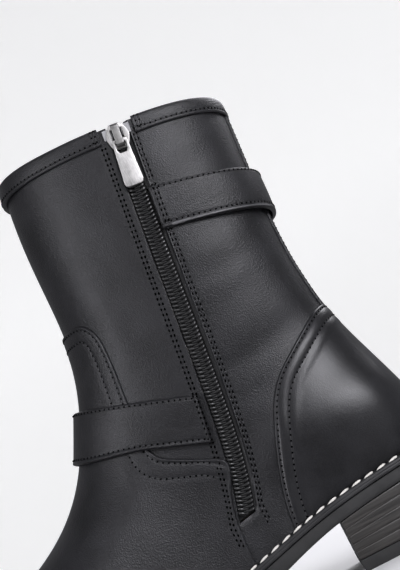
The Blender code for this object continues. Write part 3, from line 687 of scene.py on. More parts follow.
def madeMesh(name, points, faces, kind):  # merges doubles and turns every face outwards
    form = bmesh.new()
    raw = bpy.data.meshes.new(name)
    raw.from_pydata(np.asarray(points).reshape(-1, 3).tolist(), [], [list(face) for face in faces])
    form.from_mesh(raw)
    bpy.data.meshes.remove(raw)
    bmesh.ops.remove_doubles(form, verts=form.verts, dist=2e-6)
    bmesh.ops.dissolve_degenerate(form, edges=form.edges, dist=1e-7)
    loose = [vert for vert in form.verts if not vert.link_faces]
    bmesh.ops.delete(form, geom=loose, context="VERTS")
    bmesh.ops.recalc_face_normals(form, faces=form.faces)
    mesh = bpy.data.meshes.new(name)
    form.to_mesh(mesh)
    form.free()
    mesh.shade_smooth()
    mesh.set_sharp_from_angle(angle=math.radians(sharp[kind]))
    return mesh


def addPiece(name, mesh, finishes, node=None, body="boot"):  # node is the one that it stands for
    for finish in finishes:
        mesh.materials.append(looks[finish])
    piece = bpy.data.objects.new(name, mesh)
    boot.objects.link(piece)
    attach(piece, body)
    if node:
        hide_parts(node)


def addSolid(name, shape, kind, finish, node=None, body="boot"):  # shape is points and faces
    addPiece(name, madeMesh(name, *shape, kind), (finish,), node, body)


def wall(over, under, keep=None):  # points and faces of a wall between two grids of columns and rows
    columns, rows = over.shape[:2]
    if keep is None:
        keep = np.ones((columns, rows - 1), bool)
        keep[-1] = False
    column, row = np.nonzero(keep)
    after = (column + 1) % columns
    near, far = column * rows + row, after * rows + row
    top = np.stack([near, far, far + 1, near + 1], axis=1)
    shift = columns * rows
    faces = [top, top[:, ::-1] + shift]
    below, above = np.zeros_like(keep), np.zeros_like(keep)
    below[:, 1:] = keep[:, :-1]
    above[:, :-1] = keep[:, 1:]
    openSides = (~below[column, row], ~keep[after, row], ~above[column, row], ~keep[column - 1, row])
    for side, free in enumerate(openSides):
        start, end = top[free, side], top[free, (side + 1) % 4]
        faces.append(np.stack([end, start, start + shift, end + shift], axis=1))
    return np.concatenate([place(over).reshape(-1, 3), place(under).reshape(-1, 3)]), np.concatenate(faces)


def tubeRings(sections, closed=False):  # points and faces of a loft through rings of as many points
    sections = np.asarray(sections, float)
    count, size = sections.shape[:2]
    index = np.arange(count * size).reshape(count, size)
    following = np.roll(index, -1, axis=0) if closed else index[1:]
    first = index if closed else index[:-1]
    faces = np.stack([first, np.roll(first, -1, axis=1), np.roll(following, -1, axis=1), following], axis=-1)
    faces = faces.reshape(-1, 4).tolist()
    if not closed:
        faces += [index[0].tolist(), index[-1][::-1].tolist()]
    return sections.reshape(-1, 3), faces


def searchTree(points):
    tree = KDTree(len(points))
    for i, at in enumerate(points):
        tree.insert(at, i)
    tree.balance()
    return tree


def distances(points, line):  # how far each point lies from a line of points
    tree = searchTree(line)
    return np.array([tree.find(at)[2] for at in points.reshape(-1, 3)]).reshape(points.shape[:-1])


def resampled(points, step):  # the same line with points this far apart
    run = runAlong(points)
    at = np.linspace(0, run[-1], max(2, int(run[-1] / step) + 1))
    return np.stack([np.interp(at, run, points[:, i]) for i in range(points.shape[1])], axis=1)


def evenly(line, step):  # a line of (level, angle) with points this many millimetres apart on the skin
    run = runAlong(skin(line[:, 0], line[:, 1]))
    at = np.linspace(0, run[-1], max(4, int(run[-1] / step) + 1))
    return np.stack([np.interp(at, run, line[:, 0]), np.interp(at, run, line[:, 1])], axis=1)


# Stitches follow a line of edges: a thread lies at each point, and between two of them a near-black bead
# stands for the hole as painted shade
threadStep = 0.5  # between the points of a stitch line
stitchSizes = ("Pitch", "Length", "Thickness", "Hole", "Hole Length")
stitches = {  # those sizes in millimetres, then the thread
    "seam": (2.8, 2.75, 0.5, 1.0, 1.0, "thread"),
    # the front rows' threads are drawn in the near-black finish of the holes: painted shade
    "zipFront": (2.7, 1.5, 0.95, 0.3, 0.3, "pinhole"),
    "zipBack": (2.8, 1.5, 0.9, 0.85, 1.4, "thread"),
    "welt": (7.0, 5.8, 1.65, 1.0, 1.0, "creamThread"),
}


def groupTree(name, inputs):
    tree = bpy.data.node_groups.new(name, "GeometryNodeTree")
    tree.interface.new_socket("Geometry", in_out="INPUT", socket_type="NodeSocketGeometry")
    for socket, kind in inputs:
        tree.interface.new_socket(socket, in_out="INPUT", socket_type="NodeSocket" + kind)
    tree.interface.new_socket("Geometry", in_out="OUTPUT", socket_type="NodeSocketGeometry")
    return tree, tree.nodes.new("NodeGroupInput").outputs, tree.nodes.new("NodeGroupOutput").inputs


def evenSpots(tree, start):  # points along the edges, a pitch apart
    curve = addNode(tree, "GeometryNodeMeshToCurve", {"Mesh": start["Geometry"]}).outputs["Curve"]
    row = {"Curve": curve, "Length": start["Pitch"]}
    return addNode(tree, "GeometryNodeResampleCurve", row, mode="LENGTH").outputs["Curve"]


def turnedTo(tree, inputs, **settings):
    return addNode(tree, "FunctionNodeAlignRotationToVector", inputs, **settings).outputs["Rotation"]


def repeated(tree, points, shape, turn, finish):  # the shape at every point, as a painted mesh
    spots = {"Points": points, "Instance": shape, "Rotation": turn}
    spots = addNode(tree, "GeometryNodeInstanceOnPoints", spots).outputs["Instances"]
    real = addNode(tree, "GeometryNodeRealizeInstances", {"Geometry": spots}).outputs["Geometry"]
    smooth = addNode(tree, "GeometryNodeSetShadeSmooth", {"Geometry": real}).outputs["Geometry"]
    painted = {"Geometry": smooth, "Material": finish}
    return addNode(tree, "GeometryNodeSetMaterial", painted).outputs["Geometry"]


def bead(tree, length, thick, shift):  # half sizes, and how far it is moved along the row
    size = addNode(tree, "ShaderNodeCombineXYZ", {"X": length, "Y": thick, "Z": thick}).outputs["Vector"]
    away = addNode(tree, "ShaderNodeCombineXYZ", {"X": shift}).outputs["Vector"]
    ball = addNode(tree, "GeometryNodeMeshUVSphere", {"Segments": 8, "Rings": 6}).outputs["Mesh"]
    shaped = {"Geometry": ball, "Scale": size, "Translation": away}
    return addNode(tree, "GeometryNodeTransform", shaped).outputs["Geometry"]


def stitchTree():
    inputs = [(name, "Float") for name in stitchSizes]
    inputs += [("Tilt", "Vector"), ("Thread", "Material"), ("Pinhole", "Material")]
    tree, start, end = groupTree("stitchRow", inputs)
    points = evenSpots(tree, start)
    tangent = addNode(tree, "GeometryNodeInputTangent").outputs["Tangent"]
    tilted = addNode(tree, "ShaderNodeVectorMath", {0: tangent, 1: start["Tilt"]}).outputs["Vector"]
    turn = turnedTo(tree, {"Vector": tilted}, axis="X")
    half = {}
    for name in stitchSizes:
        product = {0: start[name], 1: 0.5}
        half[name] = addNode(tree, "ShaderNodeMath", product, operation="MULTIPLY").outputs[0]
    shapes = {
        "Thread": bead(tree, half["Length"], half["Thickness"], 0.0),
        # between two threads a near-black bead paints the shade in the hole
        "Pinhole": bead(tree, half["Hole Length"], half["Hole"], half["Pitch"]),
    }
    both = addNode(tree, "GeometryNodeJoinGeometry")
    for finish, shape in shapes.items():
        tree.links.new(repeated(tree, points, shape, turn, start[finish]), both.inputs["Geometry"])
    tree.links.new(both.outputs["Geometry"], end["Geometry"])
    return tree


def throughNodes(name, mesh, tree, settings):  # the plain mesh that a node tree makes of this one
    source = bpy.data.objects.new(name, mesh)
    boot.objects.link(source)
    modifier = source.modifiers.new(tree.name, "NODES")
    modifier.node_group = tree
    for socket in tree.interface.items_tree:
        if socket.in_out == "INPUT" and socket.name in settings:
            modifier[socket.identifier] = settings[socket.name]
    made = bpy.data.meshes.new_from_object(source.evaluated_get(bpy.context.evaluated_depsgraph_get()))
    source.modifiers.remove(modifier)
    bpy.data.objects.remove(source)
    made.name = name
    return made


def rowsMesh(name, rows):  # lines of points in millimetres as chains of edges
    points, edges = [], []
    for row in rows:
        start = len(points)
        points += place(row).tolist()
        edges += [(start + i, start + i + 1) for i in range(len(row) - 1)]
    mesh = bpy.data.meshes.new(name)
    mesh.from_pydata(points, edges, [])
    return mesh


stitching = stitchTree()


def addStitches(name, rows, kind, tilt=(0, 0, 0)):
    # the hole beads take the near-black finish of painted shade
    settings = {"Tilt": tilt, "Thread": looks[stitches[kind][-1]], "Pinhole": looks["pinhole"]}
    for socket, size in zip(stitchSizes, stitches[kind]):
        settings[socket] = size * mm
    addPiece(name, throughNodes(name, rowsMesh(name + "Rows", rows), stitching, settings), ())


# Upper: one hollow wall, open at the collar, underneath and along the zip
upper = {
    "frontRound": 0.4,
    "backRound": 1.1,
    "groove": 0.12,
    "grooveHalfWidth": 0.6,
    "roll": 0.35,
    "rollFrom": 0.6,
    "rollHalfWidth": 0.4,
    "reliefLevels": (0.225, 0.25),
    "fromEdge": (  # places of the close columns beside the zip
        0, 0.015, 0.04, 0.08, 0.12, 0.15, 0.18, 0.21, 0.24, 0.28, 0.34, 0.42, 0.5, 0.6, 0.72, 0.86,
    ),
    "columns": (92, 76, 40),
    "rows": (14, 118),  # under the zip and beside it
    "liningDepth": 0.2,
}


def besideZip(level, angle):  # relief of the turned edges along the zip
    along = skin(level, angle)[..., 0]
    away = np.abs(along - zipAlong(level)) - zipper["slotHalfWidth"]
    behind = along < zipAlong(level)
    radius = np.where(behind, upper["backRound"], upper["frontRound"])
    fromEdge = away - zipper["ledge"] * behind
    relief = -radius * (1 - quarterRound(fromEdge, radius))
    for key, shown in (("frontRows", ~behind), ("backRows", behind)):
        for row in zipper[key]:
            relief = relief - upper["groove"] * bell(away - row, upper["grooveHalfWidth"]) * shown
    relief = relief + upper["roll"] * bell(fromEdge - upper["rollFrom"], upper["rollHalfWidth"]) * behind
    return np.where(np.mod(angle, tau) < math.pi, relief * eased(*upper["reliefLevels"], level), 0.0)


def addUpper():
    fromEdge = np.array(upper["fromEdge"])
    frontCount, farCount, backCount = upper["columns"]
    column = np.concatenate([
        fromEdge, np.linspace(1, toeColumn, frontCount), np.linspace(toeColumn, heelColumn, farCount)[1:],
        np.linspace(heelColumn, lastColumn - 1, backCount)[1:], lastColumn - fromEdge[::-1],
    ])
    lowest = zipper["slotLowLevel"]
    lowCount, highCount = upper["rows"]
    level = np.concatenate([np.linspace(0, lowest, lowCount), np.linspace(lowest, 2, highCount)[1:]])
    levels = level[None, :] + 0 * column[:, None]
    angles = columnAngle(levels, column[:, None])
    keep = np.ones((len(column), len(level) - 1), bool)
    keep[-1, level[:-1] >= lowest - 1e-9] = False
    over = laid(levels, angles, besideZip(levels, angles))
    under = laid(levels, angles, 0 * angles - last["wall"])
    mesh = madeMesh("upperShell", *wall(over, under, keep), "shell")
    addPiece("upperShell", mesh, ("upperLeather", "lining", "zipTape"), "upper")
    tree = searchTree(place(laid(levels, angles, 0 * angles - last["wall"] / 2)).reshape(-1, 3))
    normals = outward(levels, angles).reshape(-1, 3) * np.array([-1, 1, 1])
    # a strip of the upper's own faces beside the zip's back edge takes the near-black tape finish
    fromZip = zipAlong(levels) - zipper["slotHalfWidth"] - skin(levels, angles)[..., 0]
    darkStrip = (fromZip < zipper["ledge"]) & (column[:, None] > heelColumn) & (levels > lowest + 0.01)
    darkStrip = darkStrip.reshape(-1)
    for face in mesh.polygons:
        at, i, _ = tree.find(face.center)
        inside = (face.center - at).dot(Vector(normals[i])) < -upper["liningDepth"] * mm
        face.material_index = 1 if inside else 2 * int(darkStrip[i])  # lining, near-black tape finish or leather
    print("upper:", len(mesh.polygons), "faces")


addUpper()


# Overlays: vamp with a tongue up the front, counter round the heel, strip down the back
vampSeam = (  # from the zip round the foot of the tongue and up to the front
    (105.0, 80.6), (112.0, 84.0), (120.4, 88.3), (126.1, 92.4), (128.4, 97.0), (128.9, 106.0),
    (128.0, 122.0), (126.4, 140.0), (126.0, 152.0), (127.4, 161.0), (131.5, 166.6), (138.0, 168.6),
    (150.0, 168.9),
)
overlay = {
    "thick": 0.95,
    "lowLevel": 0.012,
    "topPart": 0.1,  # levels below the top, where rows lie close
    "edgeRound": 0.7,
    "groove": 0.16,
    "grooveHalfWidth": 0.6,
    "beyond": (6.0, 0.5),  # width and share of the pad past the second row
    "threadLift": 0.02,
    "under": 0.1,
    "clearOfZip": 6.5,
    "tracePoints": 1200,
    "firstGuess": 90.0,
    "topSearched": (0.6, 1.7, 4000),
    "acrossPoints": 240,
    "fineStep": 0.15,
    "fromEdge": (  # millimetres from an edge to the close columns
        0, 0.12, 0.3, 0.55, 0.85, 1.2, 1.6, 2.0, 2.35, 2.7, 3.0, 3.3, 3.65, 4.1, 4.7, 5.4, 6.2, 7.0, 7.6,
        8.0, 8.35, 8.7, 9.0, 9.3, 9.65, 10.1, 10.8, 11.8, 13.0, 14.5,
    ),
    "vamp": {
        "edge": (
            (106.0, 5.0), (105.5, 48.0), (101.5, 62.0), (98.2, 76.6), (101.0, 78.8), *vampSeam,
            (190.0, 168.9),
        ),
        "seam": ((88.0, 71.0), (95.0, 74.0), (100.2, 77.0), *vampSeam),  # runs on to the zip
        "seamPoints": 600,
        "seamShort": 0.5,  # it ends this far behind the front line
        "rows": (1.8, 7.8),
        "spot": (132.0, 90.0, 15.0, 0.35),  # along, height, radius, and how much wider the rows are there
        "bead": 0.2,
        "finish": "upperLeather",
        "pad": 0.12,
        "columns": 110,
        "levels": ((0.55, 28), (0.9, 46)),  # up to a level, and how many
        "topLevels": (24, 34),  # up to the top part, and in it
    },
    "counter": {
        "edge": (
            (-20.0, 127.5), (10.0, 126.4), (20.0, 124.4), (30.0, 119.4), (38.1, 114.0), (48.2, 107.0),
            (56.9, 100.2), (64.4, 90.6), (70.0, 78.7), (75.0, 66.0), (79.0, 54.0), (82.0, 40.0),
            (83.0, 20.0),
        ),
        "rows": (1.6, 7.4),
        "spot": None,
        "bead": 0.08,
        "finish": "polishedLeather",
        "pad": 0.45,
        "columns": 100,
        "levels": ((0.8, 56),),
        "topLevels": (22, 30),
    },
    "backStrip": {
        "halfWidth": 11.0,
        "low": 123.6,
        "high": 236.0,
        "rows": (2.0,),
        "spot": None,
        "finish": "upperLeather",
        "columns": 12,
        "levelCount": 70,
        "searched": (0.0, 0.9, 400),  # angles from the back line
    },
}
mover = {"steps": 8, "edgeStep": 0.25, "lineStep": 0.6, "slack": 0.06}


def spread(start, end, level, count):  # angles across a row, close together near both ends
    fine = np.linspace(start, end, overlay["acrossPoints"])
    run = runAlong(skin(0 * fine + level, fine))
    dense = np.array(overlay["fromEdge"])
    dense = dense * min(1.0, run[-1] / (3.0 * dense[-1]))
    between = np.linspace(dense[-1], run[-1] - dense[-1], count)[1:-1]
    return np.interp(np.concatenate([dense, between, (run[-1] - dense)[::-1]]), run, fine)


def widened(points, spot):  # rows lie this much further apart round a spot
    if spot is None:
        return np.ones(points.shape[:-1])
    along, height, radius, share = spot
    away = np.hypot(points[..., 0] - along, points[..., 2] - height)
    return 1 + share * bell(away, radius) * (points[..., 1] < 0)


def moved(line, distance, spot):  # a line of (level, angle), moved sideways over the skin
    edge = evenly(line, mover["edgeStep"])
    edgePoints = skin(edge[:, 0], edge[:, 1])
    line = evenly(line, mover["lineStep"])
    h = 1e-3
    for step in range(1, mover["steps"] + 1):
        level, angle = line.T
        points = skin(level, angle)
        sideways = unit(np.cross(outward(level, angle), np.gradient(points, axis=0)))
        perLevel = (skin(level + h, angle) - skin(level - h, angle)) / (2 * h)
        perAngle = (skin(level, angle + h) - skin(level, angle - h)) / (2 * h)
        a, b = np.sum(perLevel * perLevel, axis=1), np.sum(perLevel * perAngle, axis=1)
        c = np.sum(perAngle * perAngle, axis=1)
        p, q = np.sum(perLevel * sideways, axis=1), np.sum(perAngle * sideways, axis=1)
        det = np.maximum(a * c - b * b, 1e-6)
        reach = distance / mover["steps"] * widened(points, spot)
        level = level + reach * (c * p - b * q) / det
        angle = angle + reach * (a * q - b * p) / det
        away = distances(skin(level, angle), edgePoints)
        clear = away > abs(distance) * step / mover["steps"] - mover["slack"]
        line = evenly(np.stack([level, angle], axis=1)[clear], mover["lineStep"])
    return line


def relief(fromEdge, away, piece):  # height of an overlay's face, by the distance from its edge and its seam
    face = overlay["thick"] * quarterRound(fromEdge, overlay["edgeRound"])
    for row in piece["rows"]:
        face = face - overlay["groove"] * bell(away - row, overlay["grooveHalfWidth"])
    if len(piece["rows"]) > 1:
        first, second = piece["rows"]
        width, share = overlay["beyond"]
        between = np.clip((away - first) / (second - first), 0, 1)
        beyond = np.clip((away - second) / width, 0, 1)
        face = face + piece["pad"] * (np.sin(math.pi * between) + share * np.sin(math.pi * beyond) ** 2)
        face = face + piece["bead"] * np.sin(math.pi * np.clip(fromEdge / first, 0, 1))
    return last["gap"] + face


def edgeLine(piece, level):  # where the overlay's edge crosses each level, as an angle on the inner side
    along, height = traced(piece["edge"], overlay["tracePoints"])
    order = np.argsort(height)
    at = np.full(np.shape(level), overlay["firstGuess"])
    for _ in range(30):
        at = 0.5 * at + 0.5 * np.interp(levelHeight(level, at), height[order], along[order])
    back, toe = ends(level)
    return angleAt(level, np.clip(at, back, toe))


def overlayLevels(piece, front):  # up to where the edge meets the front or the back line
    level = np.linspace(*overlay["topSearched"])
    along, height = traced(piece["edge"], overlay["tracePoints"])
    line = ends(level)[1 if front else 0]
    top = float(level[np.argmin(np.abs(np.interp(line, along, height) - levelHeight(level, line)))])
    lowCount, topCount = piece["topLevels"]
    levels = np.array([overlay["lowLevel"]])
    for end, count in (*piece["levels"], (top - overlay["topPart"], lowCount)):
        levels = np.append(levels, np.linspace(levels[-1], end, count)[1:])
    return np.append(levels, top - overlay["topPart"] * np.linspace(1, 0, topCount)[1:] ** 1.5)


def roundLine(levels, start, end):  # up along one edge and down along the other
    return np.stack([np.append(levels, levels[::-1]), np.append(start, end[::-1])], axis=1)


def addOverlay(name, node, piece, first, final, levels, sewn):  # sewn holds the lines that the rows follow
    rows = [spread(start, end, level, piece["columns"]) for start, end, level in zip(first, final, levels)]
    angles = np.stack(rows, axis=1)
    grid = levels[None, :] + 0 * angles
    base = skin(grid, angles)
    fromEdge = distances(base, skin(*evenly(roundLine(levels, first, final), overlay["fineStep"]).T))
    seams = np.concatenate([skin(*evenly(line, overlay["fineStep"]).T) for line in sewn])
    fromSewn = distances(base, seams) / widened(base, piece["spot"])
    over = laid(grid, angles, relief(fromEdge, fromSewn, piece))
    under = laid(grid, angles, 0 * grid + overlay["under"])
    addSolid(name, wall(over, under), "leather", piece["finish"], node)
    out = last["gap"] + overlay["thick"] - overlay["groove"] + overlay["threadLift"]
    clear = zipper["slotHalfWidth"] + overlay["clearOfZip"]
    stitchRows = []
    for row in piece["rows"]:
        for line in sewn:
            level, angle = moved(line, -row, piece["spot"]).T
            besideSlot = np.abs(skin(level, angle)[:, 0] - zipAlong(level)) < clear
            shown = ~(besideSlot & (np.mod(angle, tau) < math.pi))
            stitchRows.append(resampled(laid(level, angle, 0 * level + out)[shown], threadStep))
    addStitches(name + "Stitches", stitchRows, "seam")


def addVamp():
    piece = overlay["vamp"]
    levels = overlayLevels(piece, True)
    start = edgeLine(piece, levels)
    along, height = traced(piece["seam"], piece["seamPoints"])
    short = along < np.interp(levelAt(along, height), frontLevel, frontAlong) - piece["seamShort"]
    level = levelAt(along[short], height[short])
    angle = angleAt(level, along[short])
    sewn = np.stack([np.append(level, levels[::-1]), np.append(angle, tau - start[::-1])], axis=1)
    addOverlay("vampPanel", "vamp", piece, start, tau - start, levels, [sewn])


def addCounter():
    piece = overlay["counter"]
    levels = overlayLevels(piece, False)
    start = edgeLine(piece, levels)
    sewn = roundLine(levels, tau - start, tau + start)
    addOverlay("counterPanel", "counter", piece, tau - start, tau + start, levels, [sewn])


def addBackStrip():
    piece = overlay["backStrip"]
    height = np.linspace(piece["low"], piece["high"], piece["levelCount"])
    levels = levelAt(np.interp(height, backHeight, backAlong), height)
    fine = np.linspace(*piece["searched"])
    start = []
    for level in levels:
        start.append(np.interp(piece["halfWidth"], -skin(0 * fine + level, fine)[:, 1], fine))
    start = np.array(start)
    sewn = [np.stack([levels, tau - start], axis=1), np.stack([levels[::-1], tau + start[::-1]], axis=1)]
    addOverlay("backStripPanel", "back_strip", piece, tau - start, tau + start, levels, sewn)


addVamp()
addCounter()
addBackStrip()
print("overlays: vamp, counter and back strip")


# Collar: a turned binding over the top edge
collar = {
    "fromZip": 9.0,
    "frontLift": 0.9,
    "frontFrom": (100.0, 140.0),
    "liftedOut": 0.3,  # what lies further out than this rises in front
    "profile": (  # down from the collar, out from the leather and up over it, round the section
        (7.5, 0.25, 0.0), (7.7, 0.8, 0.0), (7.6, 1.25, 0.0), (7.2, 1.52, 0.0), (6.6, 1.56, 0.0),
        (6.1, 1.5, 0.0), (5.85, 1.42, 0.0), (5.6, 1.4, 0.0), (5.35, 1.44, 0.0), (4.9, 1.52, 0.0),
        (4.0, 1.56, 0.0), (3.0, 1.55, 0.0), (1.8, 1.5, 0.0), (0.8, 1.38, 0.0), (0.0, 1.2, 0.3),
        (0.0, 0.85, 0.85), (0.0, 0.35, 1.22), (0.0, -0.4, 1.4), (0.0, -1.1, 1.3), (0.0, -1.7, 0.95),
        (0.0, -2.05, 0.4), (0.0, -2.0, 0.06), (0.0, 0.2, 0.06), (1.5, 0.25, 0.0), (5.0, 0.25, 0.0),
    ),
    "rings": 320,
    "row": (5.6, 1.45, 0.0),
    "endRows": (10.6, 12.4),  # short rows across the binding's ends, from the zip
    "endRowDown": (6.6, 0.9, 12),
    "endRowOut": 1.56,
}


def collarLine(share, down, out, lift):  # share 0 is the end in front of the zip and 1 the end behind it
    level = np.full(np.shape(share), 2.0)
    for _ in range(6):
        first = angleAt(level, zipAlong(level) + collar["fromZip"])
        final = tau + angleAt(level, zipAlong(level) - collar["fromZip"])
        angle = first + (final - first) * share
        along = skin(level, angle)[..., 0]
        level = levelAt(along, collarHeight(along) - down)
    forward = collar["frontLift"] * eased(*collar["frontFrom"], skin(level, angle)[..., 0])
    up = np.stack([0 * forward, 0 * forward, lift + forward * (lift > 0)], axis=-1)
    return laid(level, angle, out + forward * (out > collar["liftedOut"])) + up


def addCollar():
    share = np.linspace(0, 1, collar["rings"])
    rings = np.stack([collarLine(share, *row) for row in collar["profile"]], axis=1)
    shape = tubeRings(place(rings))
    addSolid("collarBinding", shape, "leather", "upperLeather", "collar_binding")
    rows = [resampled(collarLine(share[1:-1], *collar["row"]), threadStep)]
    down = np.linspace(*collar["endRowDown"])
    level = levelAt(zipper["atCollar"], collarHeight(zipper["atCollar"]) - down)
    for away in collar["endRows"]:
        for side in (1, -1):
            angle = angleAt(level, zipAlong(level) + side * away)
            rows.append(laid(level, angle, 0 * level + collar["endRowOut"]))
    addStitches("collarStitches", rows, "seam")


addCollar()
print("collar: binding and its stitches")


# Straps: two bands round the boot, buckled on the outer side
straps = {
    "thick": 2.0,
    "rise": 0.4,
    "edgeRound": 0.9,
    "edgeLeast": 0.3,
    "groove": 0.16,
    "grooveHalfWidth": 0.6,
    "turnedRises": (0.34, 0.068),  # the edge below the lower row stands out most
    "highlightHalfWidth": 0.7,
    "crown": 0.3,
    "endRound": 0.16,
    "endLeast": 0.35,
    "ridgeHalfWidth": 0.1,
    "tipLeast": 0.45,
    "threadLift": 0.1,
    "droopAlong": (125.0, 160.0),
    "fromEdge": (0, 0.12, 0.35, 0.65, 1.0, 1.35, 1.7, 2.0, 2.3, 2.6, 2.9, 3.2, 3.6, 4.1),
    "middleFrom": 4.8,
    "middleRows": 14,
    "columns": 150,
    "tipColumns": 10,
    "chapeColumns": 40,
    "chape": (0.25, 0.975, 0.88),  # rise, thickness and share of the strap's height
    "upper": {
        "height": 188.9, "slope": 0.192, "start": 18.0, "halfHeight": 11.1, "droop": 0.0, "level": 1.5,
        "tip": 110.0, "chapeEnd": 122.0, "buckle": 84.0, "insets": (2.7, 1.2), "behindZip": True,
        "zipEnd": 0.04, "straightFrom": 2.0, "endColumns": 34, "endRidge": 0.0, "highlightFrom": 0.55,
        "lift": 2.4, "liftRun": 5.0, "overBuckle": 0.5, "trim": 3,
    },
    "lower": {
        "height": 98.3, "slope": 0.366, "start": 98.0, "halfHeight": 12.4, "droop": 3.6, "level": 1.0,
        "tip": 87.0, "chapeEnd": 77.0, "buckle": 113.0, "insets": (2.3, 1.3), "behindZip": False,
        "zipEnd": 0.42, "straightFrom": 2.02, "endColumns": 30, "endRidge": 0.12, "highlightFrom": math.inf,
        "lift": 1.9, "liftRun": 6.0, "overBuckle": 1.0, "trim": 5,
    },
}
wrinkleMargin = 0.1
wrinkles = (  # fine lines pressed into the straps beside the zip; columns as for the folds
    (inner, 1.3, -0.13, ((62, 192.5), (42, 197.5))),
    (inner, 1.0, -0.1, ((66, 197.0), (48, 200.5))),
    (inner, 1.2, -0.1, ((57, 188.5), (38, 193.0))),
    (inner, 0.9, -0.1, ((68, 201.0), (60, 205.0))),
    (inner, 1.2, -0.1, ((106, 96.0), (114, 103.0))),
)


def strapHeight(shape, along):
    return shape["height"] + shape["slope"] * (along - shape["start"])


def strapSpot(shape, column, share):  # level and angle at this share of the strap's half height
    column, share = np.broadcast_arrays(np.asarray(column, float), np.asarray(share, float))
    level = np.full(column.shape, shape["level"])
    for _ in range(8):
        along = skin(level, columnAngle(level, column))[..., 0]
        droop = (1 - share) / 2 * shape["droop"] * eased(*straps["droopAlong"], along)
        level = levelAt(along, strapHeight(shape, along) + share * shape["halfHeight"] - droop)
    return level, columnAngle(level, column)


def strapColumn(shape, along):  # column on the outer side nearest to this place on the strap
    column = np.arange(toeColumn, heelColumn + 1)
    middleLine = skin(*strapSpot(shape, column, 0 * column))
    return int(column[np.argmin(np.abs(middleLine[:, 0] - along))])


def turnedIn(distance, radius, least):  # like a quarter round that starts at the least share
    return least + (1 - least) * quarterRound(distance, radius)


def bandFace(shape, across, thick):  # height of the band's face by the distance across it
    half = shape["halfHeight"]
    inset = np.where(across < 0, *shape["insets"])
    away = half - np.abs(across)
    face = thick * turnedIn(away, straps["edgeRound"], straps["edgeLeast"])
    face = face - straps["groove"] * bell(away - inset, straps["grooveHalfWidth"])
    turned = np.clip(away / inset, 0, 1)
    rise = np.where(across < 0, *straps["turnedRises"])
    face = face + rise * (1 - turned) * eased(0, 0.3, turned)
    return face + straps["crown"] * (1 - (across / half) ** 2)


def addBand(name, node, shape, column, rise, thick, share, painted=None):
    half = shape["halfHeight"]
    edge, start = np.array(straps["fromEdge"]), straps["middleFrom"] - half
    between = np.linspace(start, -start, straps["middleRows"])
    across = np.concatenate([edge - half, between, (half - edge)[::-1]])
    column, rise, thick, share = np.broadcast_arrays(column, rise, thick, share)
    level, angle = strapSpot(shape, column[:, None], across / half * share[:, None])
    face = rise[:, None] + bandFace(shape, across[None, :], thick[:, None])
    face = face + creased(skin(level, angle), wrinkles, wrinkleMargin)
    over = laid(level, angle, face)
    under = laid(level, angle, 0 * face + rise[:, None])
    mesh = madeMesh(name, *wall(over, under), "leather")
    # faces along the lower edge take the lighter grey finish: a painted highlight
    if painted is not None and painted.any():
        middles = np.array([face.center for face in mesh.polygons])
        away = distances(middles, place(over[painted, 4]))  # the fifth row lies along the lower edge
        near = away < straps["highlightHalfWidth"] * mm
        mesh.polygons.foreach_set("material_index", near.astype(np.int32))
    addPiece(name, mesh, ("strapLeather", "paintedEdge"), node)


def bandRows(shape, column, rise, thick):  # the stitch rows of a band
    rows = []
    for side, inset in zip((-1, 1), shape["insets"]):
        across = np.full(len(column), side * (shape["halfHeight"] - inset))
        level, angle = strapSpot(shape, column, across / shape["halfHeight"])
        out = rise + bandFace(shape, across, thick) + straps["threadLift"]
        rows.append(resampled(laid(level, angle, out), threadStep)[shape["trim"] : -shape["trim"]])
    return rows


def addStrap(key):  # reach counts the columns from the zip's edge where the strap is sewn in
    shape = straps[key]
    behind, first, straight = shape["behindZip"], shape["zipEnd"], shape["straightFrom"]
    flipped = lambda column: lastColumn - column if behind else column
    tip, buckleAt, end = [flipped(strapColumn(shape, shape[at])) for at in ("tip", "buckle", "chapeEnd")]
    reach = np.concatenate([
        first + (straight - first) * np.linspace(0, 1, shape["endColumns"])[:-1] ** 2,
        np.linspace(straight, tip - 1, straps["columns"]),
        tip - 1 + np.linspace(0, 1, straps["tipColumns"])[1:],
    ])
    chape = np.linspace(buckleAt + 2, end, straps["chapeColumns"])
    if behind:
        reach, chape = reach[::-1], chape[::-1]
    rise = straps["rise"] + shape["lift"] * eased(0, shape["liftRun"], reach)
    rise = rise + shape["overBuckle"] * eased(buckleAt - 3, buckleAt - 1, reach)
    fromEnd = reach - first
    ridge = 1 + shape["endRidge"] * bell(fromEnd - straps["endRound"], straps["ridgeHalfWidth"])
    thick = straps["thick"] * turnedIn(fromEnd, straps["endRound"], straps["endLeast"]) * ridge
    share = turnedIn(tip - reach, 1.0, straps["tipLeast"])
    # the painted highlight runs along the lower edge past this reach; the lower strap has none
    column, painted = flipped(reach), reach > shape["highlightFrom"]
    addBand(key + "Strap", key + "_strap", shape, column, rise, thick, share, painted)
    addBand(key + "Chape", key + "_chape", shape, flipped(chape), *straps["chape"])
    addBuckle(key + "Buckle", key + "_buckle", shape, flipped(buckleAt), -1 if behind else 1)
    sewn = reach < tip - 1 + 1e-6
    return bandRows(shape, column[sewn], rise[sewn], thick[sewn])


def direction(vector):
    return Vector((-vector[0], vector[1], vector[2])).normalized()


def frameAt(point, down, out):  # Y along down and Z along out
    z = direction(out)
    y = direction(down)
    y = (y - z * y.dot(z)).normalized()
    matrix = Matrix((y.cross(z), y, z)).transposed().to_4x4()
    matrix.translation = Vector(place(point))
    return matrix


def roundedBox(width, height, radius, steps=8):
    points = []
    for turn, (signX, signY) in enumerate(((1, 1), (-1, 1), (-1, -1), (1, -1))):
        for step in range(steps + 1):
            angle = (turn + step / steps) * math.pi / 2
            x = signX * (width / 2 - radius) + radius * math.cos(angle)
            points.append((x, signY * (height / 2 - radius) + radius * math.sin(angle)))
    return points


